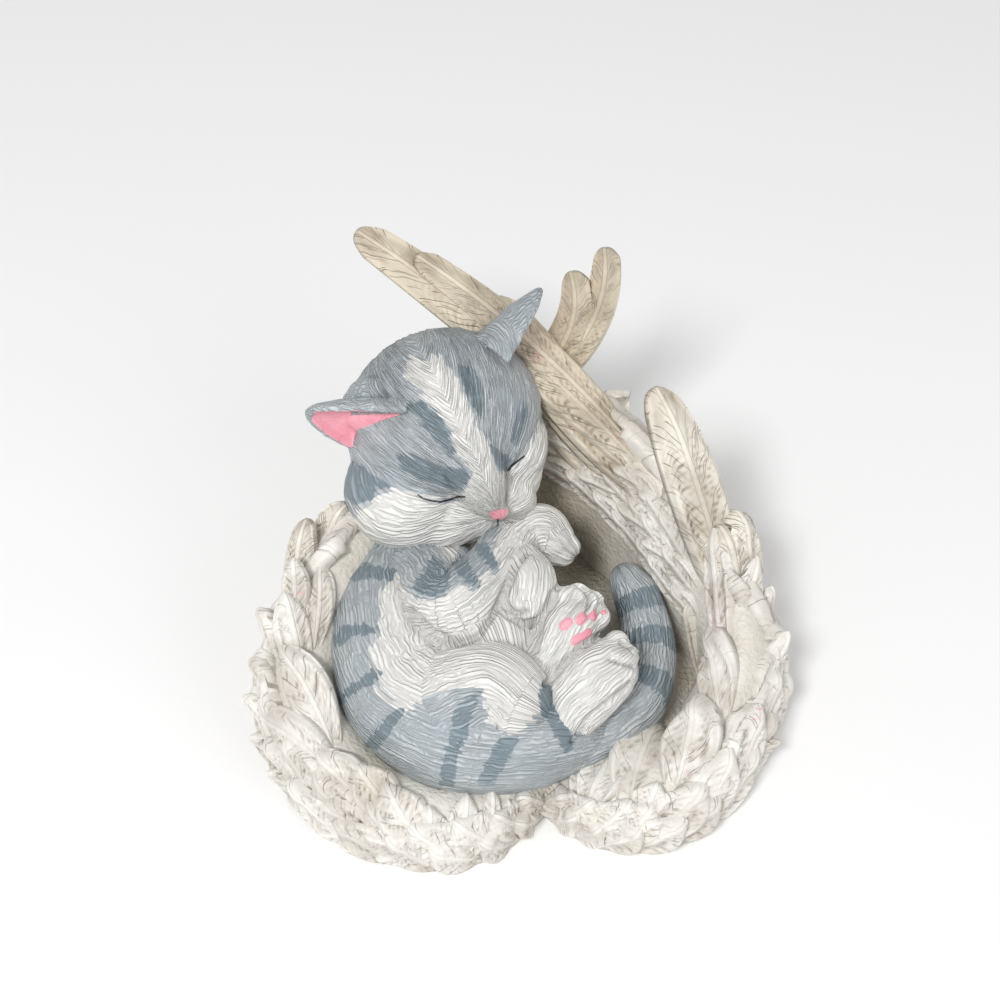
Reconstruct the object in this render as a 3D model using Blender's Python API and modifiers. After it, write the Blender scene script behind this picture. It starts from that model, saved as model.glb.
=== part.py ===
"""A kitten asleep in a nest of two folded wings: a cold-cast resin ornament in two castings.

The kitten is one solid and the nest is the other. The nest is a low ring with a floor, made of two wings that
start at a notch in the front, run round the sides and cross behind the kitten's head with their long feathers.
Every length below is in millimetres and is turned into metres when a mesh is finished. +Z is up, -Y is the front.
"""

import math
import random

import bmesh
import bpy
from mathutils import Matrix, Vector

MM = 0.001

# The nest's own sizes. It is modelled down to a little below the ground and then cut flat there.
FLOOR_THICKNESS = 5.0
UNDERCUT = 2.0
SEAT_GAP = 0.35
NEST_VOXEL = 0.6
NEST_FACES = 5500
FEATHER_THICKNESS = 2.2
FEATHER_DOME = 0.55
PRIMARY_THICKNESS = 2.6

# The kitten's own sizes. The nest is cut clear of it by the side gap, which is more than the seat gap because both
# are faceted.
SIDE_GAP = 0.55
EAR_WALL = 1.7
EAR_HALF_WIDTH = 11.0
EAR_TIP_WIDTH = 0.35
EAR_FULLNESS = 0.55
EAR_DEPTH = 0.85
KITTEN_VOXEL = 0.75
KITTEN_FACES = 3700

# Where the floor's edge lies under the notch
NOTCH = (5.5, -29.5)

# Each wing's outline on the ground from the front notch to the back, as x, y, height of its rim, and the wall's width
# from the ground outside to the rim and from the rim to the ground inside
LEFT_WING = [
    (5.5, -30.5, 9.0, 6.0, 6.0),
    (-5.0, -40.5, 12.0, 7.5, 8.0),
    (-20.0, -43.5, 14.0, 8.0, 9.0),
    (-37.0, -36.5, 16.5, 8.0, 10.0),
    (-49.5, -22.5, 20.0, 7.0, 12.0),
    (-54.5, -7.0, 25.0, 6.5, 13.0),
    (-51.0, 8.0, 30.0, 6.0, 13.0),
    (-43.5, 20.0, 33.0, 5.5, 12.0),
    (-36.5, 32.0, 33.5, 5.0, 10.0),
    (-27.5, 45.5, 40.0, 5.0, 9.0),
    (1.0, 60.5, 46.0, 5.0, 7.0),
]
RIGHT_WING = [
    (5.5, -30.5, 9.0, 6.0, 6.0),
    (15.0, -37.5, 12.0, 7.0, 7.0),
    (27.0, -39.0, 14.0, 8.0, 8.0),
    (41.0, -32.5, 17.0, 9.0, 9.5),
    (51.5, -17.5, 21.0, 9.0, 10.0),
    (57.0, -2.0, 26.0, 8.5, 9.0),
    (52.5, 13.0, 29.5, 7.5, 8.0),
    (44.0, 25.0, 33.0, 6.5, 8.0),
    (33.5, 37.5, 41.0, 5.5, 8.0),
    (19.5, 51.0, 46.0, 5.0, 8.0),
    (1.0, 60.5, 46.0, 5.0, 7.0),
]

WINGS = [
    {"outline": LEFT_WING, "hand": 1, "inner_rows": False},
    {"outline": RIGHT_WING, "hand": -1, "inner_rows": True},
]
RING_SIDES = 12
RING_STEPS = 24

# Rows of short feathers on each wall, from the ground up. Root and tip are places round the wall, from 0 on the ground
# outside over 0.5 on the rim to 1 on the ground inside, and each pair is the value at the notch and at the back.
FEATHER_ROWS = [
    {"root": (0.03, 0.03), "tip": (0.20, 0.14), "first": 0.015, "half_width": (5.2, 7.5)},
    {"root": (0.09, 0.08), "tip": (0.34, 0.26), "first": -0.01, "half_width": (5.4, 7.6)},
    {"root": (0.20, 0.18), "tip": (0.46, 0.38), "first": 0.015, "half_width": (5.6, 7.4)},
    {"root": (0.30, 0.28), "tip": (0.56, 0.48), "first": -0.01, "half_width": (5.8, 6.6)},
]
ROW_END = 0.84
ROW_SPACING = (0.050, 0.078)
ROW_REACH = (0.055, 0.17)
TIP_LIFT = (2.0, 2.4)

# Small feathers on the inside of each wall, which lie over the roots of the long ones
INNER_ROWS = [
    {"root": 0.58, "tip": 0.60, "first": 0.46, "last": 0.78},
    {"root": 0.66, "tip": 0.69, "first": 0.50, "last": 0.76},
]
INNER_SPACING = 0.055
INNER_REACH = 0.085
INNER_HALF_WIDTH = 3.6
INNER_LIFT = 1.8

# The long feathers as root, middle, tip, half width and the way their face looks
PRIMARIES = [
    ((41.0, 30.0, 34.0), (13.0, 48.0, 53.5), (-34.5, 66.5, 79.0), 5.4, (0.35, -0.75, 0.55)),
    ((41.0, 31.0, 35.0), (14.0, 50.5, 54.0), (-21.5, 60.0, 77.5), 4.0, (0.35, -0.75, 0.55)),
    ((40.0, 29.0, 31.0), (11.0, 44.5, 48.5), (-4.0, 61.0, 65.0), 5.8, (0.4, -0.78, 0.5)),
    ((39.0, 30.0, 27.0), (13.0, 45.0, 42.0), (-3.0, 61.0, 58.0), 5.2, (0.45, -0.75, 0.45)),
    ((38.0, 31.0, 23.0), (14.0, 45.5, 35.0), (-3.0, 59.0, 50.0), 5.0, (0.5, -0.78, 0.35)),
    ((37.0, 31.0, 19.0), (15.0, 46.0, 28.0), (-2.0, 57.0, 42.0), 4.8, (0.5, -0.8, 0.25)),
    ((-34.0, 34.0, 34.0), (24.0, 62.0, 41.0), (18.4, 59.5, 80.0), 4.2, (-0.1, -0.85, 0.45)),
    ((-32.0, 36.0, 32.0), (20.0, 62.0, 42.0), (11.3, 57.0, 75.5), 4.2, (-0.1, -0.85, 0.45)),
    ((47.0, 6.0, 21.0), (42.5, 20.0, 40.0), (29.0, 35.5, 62.0), 6.0, (0.25, -0.75, 0.6)),
    ((50.0, 0.0, 19.0), (48.5, 10.0, 31.0), (43.0, 17.5, 38.5), 4.6, (0.3, -0.75, 0.6)),
    ((53.0, 4.0, 20.0), (51.0, 14.0, 34.0), (46.6, 20.5, 40.0), 4.4, (0.6, -0.6, 0.5)),
    ((-49.0, 2.0, 20.0), (-48.5, 11.0, 32.0), (-45.0, 18.0, 40.0), 3.2, (-0.2, -0.75, 0.6)),
    ((-45.0, 12.0, 24.0), (-42.5, 21.0, 34.0), (-37.0, 24.0, 38.0), 4.4, (-0.2, -0.75, 0.6)),
]

# The kitten's trunk, limbs and tail as routes of x, y, z and radius
SPINE = [
    (-20.0, 30.0, 22.0, 10.0),
    (-25.5, 18.5, 18.5, 12.8),
    (-26.0, 3.0, 19.0, 15.0),
    (-21.5, -12.0, 18.0, 15.0),
    (-11.0, -19.0, 18.0, 15.0),
    (1.5, -19.0, 16.0, 13.0),
    (11.0, -17.5, 14.0, 9.0),
]
BELLY = [(-14.5, 9.0, 20.5, 14.5), (-9.0, -3.0, 20.0, 16.0)]
NEAR_THIGH = [(-12.0, -18.0, 22.0, 13.0), (-6.0, -17.5, 25.0, 11.5), (-2.5, -19.0, 25.0, 10.0)]
NEAR_FOOT = [(8.0, -20.8, 18.5, 5.0), (10.6, -17.6, 22.5, 7.3), (14.8, -14.2, 25.0, 7.8), (18.0, -11.9, 26.0, 7.0)]
FAR_FOOT = [(4.0, -13.5, 22.0, 7.0), (8.0, -7.1, 26.5, 6.8), (10.4, -3.2, 29.0, 6.6), (12.6, -0.4, 29.5, 5.6)]
NEAR_ARM = [
    (-20.5, 12.0, 26.0, 9.2),
    (-14.2, -1.0, 33.0, 8.0),
    (-6.5, 7.3, 33.3, 6.8),
    (-0.5, 19.0, 31.9, 6.3),
    (4.4, 22.0, 31.7, 6.3),
    (7.2, 20.8, 30.7, 5.4),
]
FAR_PAW = [(-2.0, 15.5, 29.5, 6.3), (2.2, 5.8, 33.0, 6.3), (2.3, 0.6, 32.0, 5.4)]
TOE_RADIUS = 2.7
TOES = [
    (21.8, -13.2, 27.6), (22.4, -9.8, 28.6), (20.4, -7.0, 29.6),
    (9.6, 1.6, 33.4), (12.6, 2.4, 33.4), (15.4, 1.4, 32.4), (16.8, -1.0, 30.6),
    (7.4, 17.6, 29.3), (9.8, 17.6, 29.1), (11.2, 19.4, 29.7),
    (1.0, -1.8, 31.4), (4.2, -1.6, 31.6),
]
TAIL = [
    (8.8, -20.5, 13.5, 8.0),
    (18.5, -15.8, 12.0, 6.8),
    (26.3, -8.5, 12.0, 6.3),
    (28.7, 1.5, 12.5, 6.1),
    (28.2, 9.7, 14.5, 5.8),
    (26.4, 15.7, 17.0, 5.2),
    (24.4, 18.5, 19.5, 4.0),
]

# The head's place and turn, and its masses in its own frame:
# +X to the viewer's right, +Y to the crown, +Z out of the face
HEAD_CENTRE = (-13.7, 39.0, 46.2)
HEAD_TURN = 19.8
HEAD_TILT = 14.0
HEAD_MASSES = [
    ((-1.5, 1.8, -2.0), (22.0, 20.5, 20.0)),
    ((-3.8, -8.3, 9.8), (18.6, 9.7, 12.4)),
    ((-14.6, -4.8, 6.0), (14.2, 12.6, 14.0)),
    ((7.5, -4.5, 5.0), (11.0, 9.5, 12.0)),
    ((-2.7, -9.0, 17.6), (5.8, 5.2, 5.2)),
    ((4.9, -9.0, 17.2), (5.6, 5.2, 5.2)),
    ((-14.5, 15.0, -2.0), (6.5, 6.0, 6.5)),
    ((2.5, -9.6, 19.4), (5.4, 4.4, 4.4)),
    ((1.1, -5.8, 22.3), (2.5, 1.7, 1.6)),
]
NOSE_BRIDGE = [(0.0, 6.0, 12.5, 7.5), (0.0, 0.0, 16.5, 5.6), (0.0, -4.2, 19.6, 3.4)]
LEFT_EAR = {"base": (-12.5, 12.0, 3.0), "tip": (-27.9, 22.6, -1.0), "opening": (-0.3, -0.2, 1.0)}
RIGHT_EAR = {"base": (15.0, 13.0, -4.5), "tip": (29.3, 20.3, -8.5), "opening": (0.8, -0.36, 0.37)}


def collection(name):
    """A collection of its own in the scene."""
    made = bpy.data.collections.new(name)
    bpy.context.scene.collection.children.link(made)
    return made


def to_object(bm, name, home):
    """Turn a bmesh in millimetres into an object in metres."""
    bmesh.ops.scale(bm, vec=(MM, MM, MM), verts=bm.verts)
    mesh = bpy.data.meshes.new(name)
    bm.to_mesh(mesh)
    bm.free()
    made = bpy.data.objects.new(name, mesh)
    home.objects.link(made)
    return made


def applied(piece, name, home):
    """A new object with the modifiers of the old one applied, and the old one gone."""
    graph = bpy.context.evaluated_depsgraph_get()
    mesh = bpy.data.meshes.new_from_object(piece.evaluated_get(graph))
    bpy.data.objects.remove(piece)
    mesh.name = name
    made = bpy.data.objects.new(name, mesh)
    home.objects.link(made)
    return made


def coloured(piece, name, colour, roughness):
    """Give a piece its own material."""
    material = bpy.data.materials.new(name)
    material.use_nodes = True
    shader = material.node_tree.nodes["Principled BSDF"]
    shader.inputs["Base Color"].default_value = (*colour, 1.0)
    shader.inputs["Roughness"].default_value = roughness
    shader.inputs["Metallic"].default_value = 0.0
    piece.data.materials.append(material)


def along(route, share):
    """The point at a share of a route, on a Catmull-Rom curve through its rows."""
    place = max(0.0, min(share, 1.0)) * (len(route) - 1)
    start = min(int(place), len(route) - 2)
    t = place - start
    rows = [route[max(0, min(start + k, len(route) - 1))] for k in (-1, 0, 1, 2)]
    weights = (
        0.5 * (-t + 2 * t * t - t ** 3),
        0.5 * (2 - 5 * t * t + 3 * t ** 3),
        0.5 * (t + 4 * t * t - 3 * t ** 3),
        0.5 * (-t * t + t ** 3),
    )
    return [sum(w * row[axis] for w, row in zip(weights, rows)) for axis in range(len(route[0]))]


def unit_ball():
    """The mesh of a sphere of radius 1, from which every rounded mass is drawn out."""
    bm = bmesh.new()
    bmesh.ops.create_uvsphere(bm, u_segments=20, v_segments=12, radius=1.0)
    mesh = bpy.data.meshes.new("unit ball")
    bm.to_mesh(mesh)
    bm.free()
    return mesh


def add_ball(bm, centre, radii, turn=None):
    """One rounded mass: a sphere drawn out to three radii."""
    placed = Matrix.Translation(centre) @ Matrix.Diagonal((*radii, 1.0))
    if turn is not None:
        placed = turn @ placed
    ball = bpy.data.meshes.get("unit ball") or unit_ball()
    before = len(bm.verts)
    bm.from_mesh(ball)
    bm.verts.ensure_lookup_table()
    bmesh.ops.transform(bm, matrix=placed, verts=bm.verts[before:])


def add_limb(bm, route, turn=None, steps_each=5):
    """A limb: close-set balls along a route, which the remesh runs together."""
    count = steps_each * (len(route) - 1)
    for step in range(count + 1):
        x, y, z, radius = along(route, step / count)
        add_ball(bm, (x, y, z), (radius, radius, radius), turn)


def head_frame():
    """The matrix that carries the head's own frame into the part's."""
    axes = Matrix(((1, 0, 0), (0, 0, -1), (0, 1, 0))).to_4x4()
    turn = Matrix.Rotation(math.radians(HEAD_TURN), 4, "Z")
    tilt = Matrix.Rotation(math.radians(-HEAD_TILT), 4, "Y")
    return Matrix.Translation(HEAD_CENTRE) @ turn @ tilt @ axes


def add_ear(bm, ear, turn):
    """A cupped ear: a grid bent round the line from base to tip, open to one side, with its wall added."""
    base, tip, opening = Vector(ear["base"]), Vector(ear["tip"]), Vector(ear["opening"])
    axis = (tip - base).normalized()
    opening = (opening - axis * opening.dot(axis)).normalized()
    side = axis.cross(opening)
    shell = bmesh.new()
    bmesh.ops.create_grid(shell, x_segments=10, y_segments=8, size=1.0)
    for vert in shell.verts:
        across, up = vert.co.x, (vert.co.y + 1) / 2
        width = EAR_HALF_WIDTH * (1 - up) ** EAR_FULLNESS + EAR_TIP_WIDTH
        bend = across * math.radians(78)
        foot = base.lerp(tip, up)
        depth = width * EAR_DEPTH * (0.45 - math.cos(bend))
        vert.co = foot + side * width * math.sin(bend) + opening * depth
    bmesh.ops.recalc_face_normals(shell, faces=shell.faces)
    bmesh.ops.solidify(shell, geom=shell.faces[:], thickness=EAR_WALL)
    bmesh.ops.transform(shell, matrix=turn, verts=shell.verts)
    mesh = bpy.data.meshes.new("ear")
    shell.to_mesh(mesh)
    shell.free()
    bm.from_mesh(mesh)
    bpy.data.meshes.remove(mesh)


def kitten_mass():
    """Every rounded mass of the kitten in one bmesh, still overlapping."""
    bm = bmesh.new()
    for route in (SPINE, BELLY, NEAR_THIGH, NEAR_FOOT, FAR_FOOT, NEAR_ARM, FAR_PAW, TAIL):
        add_limb(bm, route)
    for toe in TOES:
        add_ball(bm, toe, (TOE_RADIUS, TOE_RADIUS, TOE_RADIUS))
    turn = head_frame()
    for centre, radii in HEAD_MASSES:
        add_ball(bm, centre, radii, turn)
    add_limb(bm, NOSE_BRIDGE, turn)
    for ear in (LEFT_EAR, RIGHT_EAR):
        add_ear(bm, ear, turn)
    return bm


def fused(bm, name, home, voxel, smoothings, faces):
    """Run overlapping masses together with a voxel remesh, ease the creases like wet clay and thin out the faces."""
    piece = to_object(bm, name, home)
    remesh = piece.modifiers.new("run together", "REMESH")
    remesh.mode = "VOXEL"
    remesh.voxel_size = voxel * MM
    smooth = piece.modifiers.new("ease creases", "SMOOTH")
    smooth.factor = 0.5
    smooth.iterations = smoothings
    piece = applied(piece, name, home)
    thin = piece.modifiers.new("fewer faces", "DECIMATE")
    thin.use_collapse_triangulate = True
    thin.ratio = faces / (2.0 * len(piece.data.polygons))
    return applied(piece, name, home)


def cut_flat(piece, level):
    """Cut a piece off flat at a height and close it there."""
    bm = bmesh.new()
    bm.from_mesh(piece.data)
    cut = bmesh.ops.bisect_plane(
        bm, geom=bm.verts[:] + bm.edges[:] + bm.faces[:], plane_co=(0, 0, level * MM), plane_no=(0, 0, -1),
        clear_outer=True,
    )
    rim = [e for e in cut["geom_cut"] if isinstance(e, bmesh.types.BMEdge)]
    bmesh.ops.holes_fill(bm, edges=rim, sides=0)
    bmesh.ops.triangulate(bm, faces=bm.faces[:])
    bmesh.ops.recalc_face_normals(bm, faces=bm.faces[:])
    bm.to_mesh(piece.data)
    bm.free()


def keep_largest_body(piece):
    """Drop the slivers that a cut leaves loose."""
    bm = bmesh.new()
    bm.from_mesh(piece.data)
    unseen, bodies = set(bm.verts), []
    while unseen:
        body, edge = set(), {unseen.pop()}
        while edge:
            body |= edge
            edge = {e.other_vert(v) for v in edge for e in v.link_edges} - body
        unseen -= body
        bodies.append(body)
    bodies.sort(key=len)
    bmesh.ops.delete(bm, geom=[v for body in bodies[:-1] for v in body], context="VERTS")
    bm.to_mesh(piece.data)
    bm.free()


def build_kitten(home):
    """The kitten: one closed solid, flat where it sits on the nest's floor."""
    piece = fused(kitten_mass(), "kitten", home, KITTEN_VOXEL, 6, KITTEN_FACES)
    cut_flat(piece, FLOOR_THICKNESS + SEAT_GAP)
    piece.data.shade_smooth()
    coloured(piece, "painted grey fur", (0.42, 0.46, 0.48), 0.5)
    return piece


def build_seat_cutter(kitten, home):
    """A cutter for the nest: the kitten grown by the side gap, so that the two castings never touch."""
    bm = bmesh.new()
    bm.from_mesh(kitten.data)
    bm.normal_update()
    for vert in bm.verts:
        vert.co += vert.normal * SIDE_GAP * MM
    mesh = bpy.data.meshes.new("kitten seat")
    bm.to_mesh(mesh)
    bm.free()
    cutter = bpy.data.objects.new("kitten seat", mesh)
    cutter.hide_render = True
    cutter.display_type = "WIRE"
    home.objects.link(cutter)
    return cutter


def wall_point(wing, share, round_wall):
    """A point on a wing's wall: share runs from the notch to the back, round_wall from the ground outside over the
    rim to the ground inside."""
    x, y, height, outer, inner = along(wing["outline"], share)
    ahead, behind = along(wing["outline"], share + 0.01), along(wing["outline"], share - 0.01)
    run = Vector((ahead[0] - behind[0], ahead[1] - behind[1], 0.0)).normalized()
    outward = Vector((-run.y, run.x, 0.0)) * wing["hand"]
    angle = math.pi * round_wall
    inset = outer - (outer if angle < math.pi / 2 else inner) * math.cos(angle)
    rise = height * max(0.0, math.sin(angle)) ** 0.8
    return Vector((x, y, 0.0)) - outward * inset + Vector((0.0, 0.0, rise))


def wall_normal(wing, share, round_wall):
    """The direction straight out of a wing's wall."""
    step = 0.01
    around = min(max(round_wall, 2 * step), 1 - 2 * step)
    run = wall_point(wing, share + step, around) - wall_point(wing, share - step, around)
    over = wall_point(wing, share, around + step) - wall_point(wing, share, around - step)
    return run.cross(over).normalized() * -wing["hand"]


def add_ring(bm, wing):
    """A wing's wall: a straight tube of unit radius, bent so that its upper half is the wall and its lower half the
    underside."""
    tube = bmesh.new()
    bmesh.ops.create_circle(tube, cap_ends=True, segments=RING_SIDES, radius=1.0)
    front = tube.faces[:]
    for step in range(RING_STEPS):
        grown = bmesh.ops.extrude_face_region(tube, geom=front, use_keep_orig=step == 0)
        front = [f for f in grown["geom"] if isinstance(f, bmesh.types.BMFace)]
        moved = [v for v in grown["geom"] if isinstance(v, bmesh.types.BMVert)]
        bmesh.ops.translate(tube, vec=(0, 0, 1.0 / RING_STEPS), verts=moved)
    for vert in tube.verts:
        angle = math.atan2(vert.co.y, vert.co.x)
        place = wall_point(wing, vert.co.z, abs(angle) / math.pi)
        vert.co = place if angle > 0 else Vector((place.x, place.y, -UNDERCUT))
    bmesh.ops.recalc_face_normals(tube, faces=tube.faces[:])
    take_in(bm, tube)


def take_in(bm, other):
    """Add a finished bmesh to a larger one."""
    mesh = bpy.data.meshes.new("taken in")
    other.to_mesh(mesh)
    other.free()
    bm.from_mesh(mesh)
    bpy.data.meshes.remove(mesh)


def feather_outline(share):
    """Half a feather's width at a share of its length, as a share of its widest: narrow root and broad vane."""
    if share < 0.6:
        return 0.5 + 0.5 * math.sin(math.pi / 2 * share / 0.6)
    return 1.0 - 0.3 * ((share - 0.6) / 0.4) ** 2


def add_feather(bm, centre, normal, half_width, thickness, rows=5, tip_round=0.3):
    """One feather: a grid laid along a centre line, its end rounded, domed across, with its thickness added."""
    vane = bmesh.new()
    bmesh.ops.create_grid(vane, x_segments=4, y_segments=rows, size=1.0)
    for vert in vane.verts:
        across, up = vert.co.x, (vert.co.y + 1) / 2
        share = up - tip_round * across * across * up ** 3
        point, out = centre(share), normal(share)
        run = centre(share + 0.02) - centre(share - 0.02)
        side = run.cross(out).normalized()
        dome = thickness * FEATHER_DOME * (1 - across * across)
        vert.co = point + side * across * half_width * feather_outline(up) + out * dome
    bmesh.ops.recalc_face_normals(vane, faces=vane.faces[:])
    if vane.faces[:][0].normal.dot(normal(0.5)) < 0:
        bmesh.ops.reverse_faces(vane, faces=vane.faces[:])
    bmesh.ops.solidify(vane, geom=vane.faces[:], thickness=thickness)
    take_in(bm, vane)


def between(pair, share):
    """The value at a share of the way from the first of a pair to the second."""
    return pair[0] + (pair[1] - pair[0]) * share


def add_wall_feather(bm, wing, start, reach, root, tip, half_width, lift, thickness):
    """A feather that hugs a wing's wall from root to tip and lifts away from it towards the tip."""

    def centre(share):
        at, around = start + reach * share, root + (tip - root) * share
        return wall_point(wing, at, around) + wall_normal(wing, at, around) * (0.1 + lift * share)

    def normal(share):
        return wall_normal(wing, start + reach * share, root + (tip - root) * share)

    add_feather(bm, centre, normal, half_width, thickness)


def add_long_feather(bm, root, middle, tip, half_width, facing):
    """A long feather on a smooth bend through three points."""
    route = [Vector(root), Vector(middle), Vector(tip)]

    def centre(share):
        return route[0].lerp(route[1], share).lerp(route[1].lerp(route[2], share), share)

    length = (route[2] - route[0]).length
    add_feather(
        bm, centre, lambda share: Vector(facing).normalized(), half_width, PRIMARY_THICKNESS, rows=9,
        tip_round=half_width / length,
    )


def add_rows(bm, wing):
    """The rows of short feathers outside a wall, and the small ones inside it."""
    dice = random.Random(7 + wing["hand"])
    for row in FEATHER_ROWS:
        start = row["first"]
        while start < ROW_END:
            share = max(0.0, start)
            size = dice.uniform(0.88, 1.12)
            add_wall_feather(
                bm, wing, start, between(ROW_REACH, share) * size,
                between(row["root"], share), between(row["tip"], share) + dice.uniform(-0.02, 0.02),
                between(row["half_width"], share) * dice.uniform(0.92, 1.08),
                between(TIP_LIFT, share) * dice.uniform(0.7, 1.3), FEATHER_THICKNESS,
            )
            start += between(ROW_SPACING, share)
    for row in INNER_ROWS if wing["inner_rows"] else []:
        start = row["first"]
        while start < row["last"]:
            add_wall_feather(
                bm, wing, start, INNER_REACH * dice.uniform(0.85, 1.15), row["root"], row["tip"],
                INNER_HALF_WIDTH, INNER_LIFT, FEATHER_THICKNESS,
            )
            start += INNER_SPACING


def add_floor(bm):
    """The nest's floor: a plate that reaches under both walls."""
    plate = bmesh.new()
    edge = []
    for wing, shares in ((LEFT_WING, range(1, 11)), (RIGHT_WING, range(9, 0, -1))):
        for place in shares:
            x, y, height, outer, inner = wing[place]
            inward = Vector((-x, 10.0 - y, 0.0)).normalized()
            edge.append(plate.verts.new(Vector((x, y, -UNDERCUT)) + inward * (outer + inner / 2)))
    edge.append(plate.verts.new((*NOTCH, -UNDERCUT)))
    bottom = plate.faces.new(edge)
    grown = bmesh.ops.extrude_face_region(plate, geom=[bottom], use_keep_orig=True)
    moved = [v for v in grown["geom"] if isinstance(v, bmesh.types.BMVert)]
    bmesh.ops.translate(plate, vec=(0, 0, FLOOR_THICKNESS + UNDERCUT), verts=moved)
    bmesh.ops.recalc_face_normals(plate, faces=plate.faces[:])
    take_in(bm, plate)


def build_nest(home, cutter):
    """The nest: floor, both walls and every feather in one closed solid, flat below and cut clear of the kitten."""
    masses = bmesh.new()
    add_floor(masses)
    for wing in WINGS:
        add_ring(masses, wing)
        add_rows(masses, wing)
    for feather in PRIMARIES:
        add_long_feather(masses, *feather)
    piece = fused(masses, "wing_nest", home, NEST_VOXEL, 0, NEST_FACES)
    cut_flat(piece, 0.0)
    seat = piece.modifiers.new("seat for the kitten", "BOOLEAN")
    seat.object = cutter
    seat.operation = "DIFFERENCE"
    seat.solver = "EXACT"
    piece = applied(piece, "wing_nest", home)
    keep_largest_body(piece)
    piece.data.shade_smooth()
    piece.data.set_sharp_from_angle(angle=math.radians(40))
    coloured(piece, "off-white painted resin", (0.78, 0.75, 0.69), 0.6)
    return piece


def main():
    for old in list(bpy.data.objects):
        bpy.data.objects.remove(old)
    home = collection("kitten in a nest of wings")
    cutters = collection("cutters")
    kitten = build_kitten(home)
    build_nest(home, build_seat_cutter(kitten, cutters))


main()
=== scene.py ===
# %% [markdown]
# # A kitten asleep in a nest of wings
# The real thing is a small ornament of cast resin in two pieces, a kitten and the nest that it lies in, each carved
# all over and then painted. The frame brings the plain solids of both. This lesson makes the carved and painted
# pieces that stand in for them, in the same places and at the same size. Lengths are written in millimetres and
# turned into Blender's metres when a mesh is finished.

# %% load the frame
import math
import random

import bmesh
import bpy
import numpy as np
from mathutils import Matrix, Vector, noise
from mathutils.bvhtree import BVHTree


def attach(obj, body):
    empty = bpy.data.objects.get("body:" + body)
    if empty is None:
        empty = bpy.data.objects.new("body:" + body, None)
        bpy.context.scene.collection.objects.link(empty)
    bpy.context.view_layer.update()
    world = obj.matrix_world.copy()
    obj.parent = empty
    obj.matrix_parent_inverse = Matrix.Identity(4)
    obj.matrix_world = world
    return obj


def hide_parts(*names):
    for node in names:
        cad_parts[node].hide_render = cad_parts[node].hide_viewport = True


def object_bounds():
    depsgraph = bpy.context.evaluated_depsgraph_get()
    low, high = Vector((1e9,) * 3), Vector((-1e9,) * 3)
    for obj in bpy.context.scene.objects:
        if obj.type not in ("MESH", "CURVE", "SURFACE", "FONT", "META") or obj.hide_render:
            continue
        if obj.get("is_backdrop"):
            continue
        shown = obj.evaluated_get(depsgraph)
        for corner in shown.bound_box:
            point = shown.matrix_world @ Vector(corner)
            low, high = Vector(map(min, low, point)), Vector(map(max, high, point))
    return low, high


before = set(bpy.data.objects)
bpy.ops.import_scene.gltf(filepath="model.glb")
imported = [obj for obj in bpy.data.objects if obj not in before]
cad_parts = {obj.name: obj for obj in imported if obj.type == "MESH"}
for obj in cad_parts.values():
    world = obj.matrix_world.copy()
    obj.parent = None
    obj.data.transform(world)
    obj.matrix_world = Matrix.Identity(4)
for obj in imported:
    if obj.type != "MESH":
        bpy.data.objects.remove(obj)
solid_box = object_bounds()
MM = 0.001
print("solids:", list(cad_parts), "box", [[round(v, 4) for v in corner] for corner in solid_box])

# %% [markdown]
# ## The camera
# The photograph looks down on the ornament at 47 degrees from its front. A camera is easiest to set from what the
# picture shows: where the middle of the base falls in it, how far off the lens is, and how long the lens is. The
# camera then needs no aiming by eye, and every point of the photograph has its line of sight in the scene.

# %% the camera at the photograph's angle
PICTURE_WIDTH = 1000.0
BASE_IN_PICTURE = (517.0, 700.0)
LENS_IN_PIXELS = 1750.0
DISTANCE = 390.0
ELEVATION = math.radians(47.0)

toward_lens = Vector((0.0, -math.cos(ELEVATION), math.sin(ELEVATION)))
picture_up = Vector((0.0, math.sin(ELEVATION), math.cos(ELEVATION)))
picture_right = Vector((1.0, 0.0, 0.0))
mm_per_pixel = DISTANCE / LENS_IN_PIXELS
lens_place = (
    toward_lens * DISTANCE
    - picture_right * (BASE_IN_PICTURE[0] - PICTURE_WIDTH / 2) * mm_per_pixel
    + picture_up * (BASE_IN_PICTURE[1] - PICTURE_WIDTH / 2) * mm_per_pixel
)
camera = bpy.data.objects.new("camera", bpy.data.cameras.new("camera"))
bpy.context.scene.collection.objects.link(camera)
camera.data.sensor_width = 36.0
camera.data.lens = camera.data.sensor_width * LENS_IN_PIXELS / PICTURE_WIDTH
facing = Matrix((picture_right, picture_up, toward_lens)).transposed().to_4x4()
camera.matrix_world = Matrix.Translation(lens_place * MM) @ facing
bpy.context.scene.camera = camera
print("lens", round(camera.data.lens, 1), "mm, camera at", [round(v, 3) for v in camera.location])

# %% [markdown]
# ## Helpers for routes and meshes
# A limb, a spine or a tail is a route: a few places with a radius at each. A smooth curve through them gives any
# place between. A mesh that is built up of many small ones grows slowly when an operator runs on the whole of it, so
# each small one is made in a bmesh of its own and taken into the large one when it is done.

# %% routes and meshes


def along(route, share):
    """The row at a share of a route, on a smooth curve through its rows."""
    place = max(0.0, min(share, 1.0)) * (len(route) - 1)
    start = min(int(place), len(route) - 2)
    t = place - start
    rows = [route[max(0, min(start + k, len(route) - 1))] for k in (-1, 0, 1, 2)]
    weights = (
        0.5 * (-t + 2 * t * t - t ** 3),
        0.5 * (2 - 5 * t * t + 3 * t ** 3),
        0.5 * (t + 4 * t * t - 3 * t ** 3),
        0.5 * (-t * t + t ** 3),
    )
    return [sum(w * row[axis] for w, row in zip(weights, rows)) for axis in range(len(route[0]))]


def between(pair, share):
    """The value at a share of the way from the first of a pair to the second."""
    return pair[0] + (pair[1] - pair[0]) * share


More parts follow.
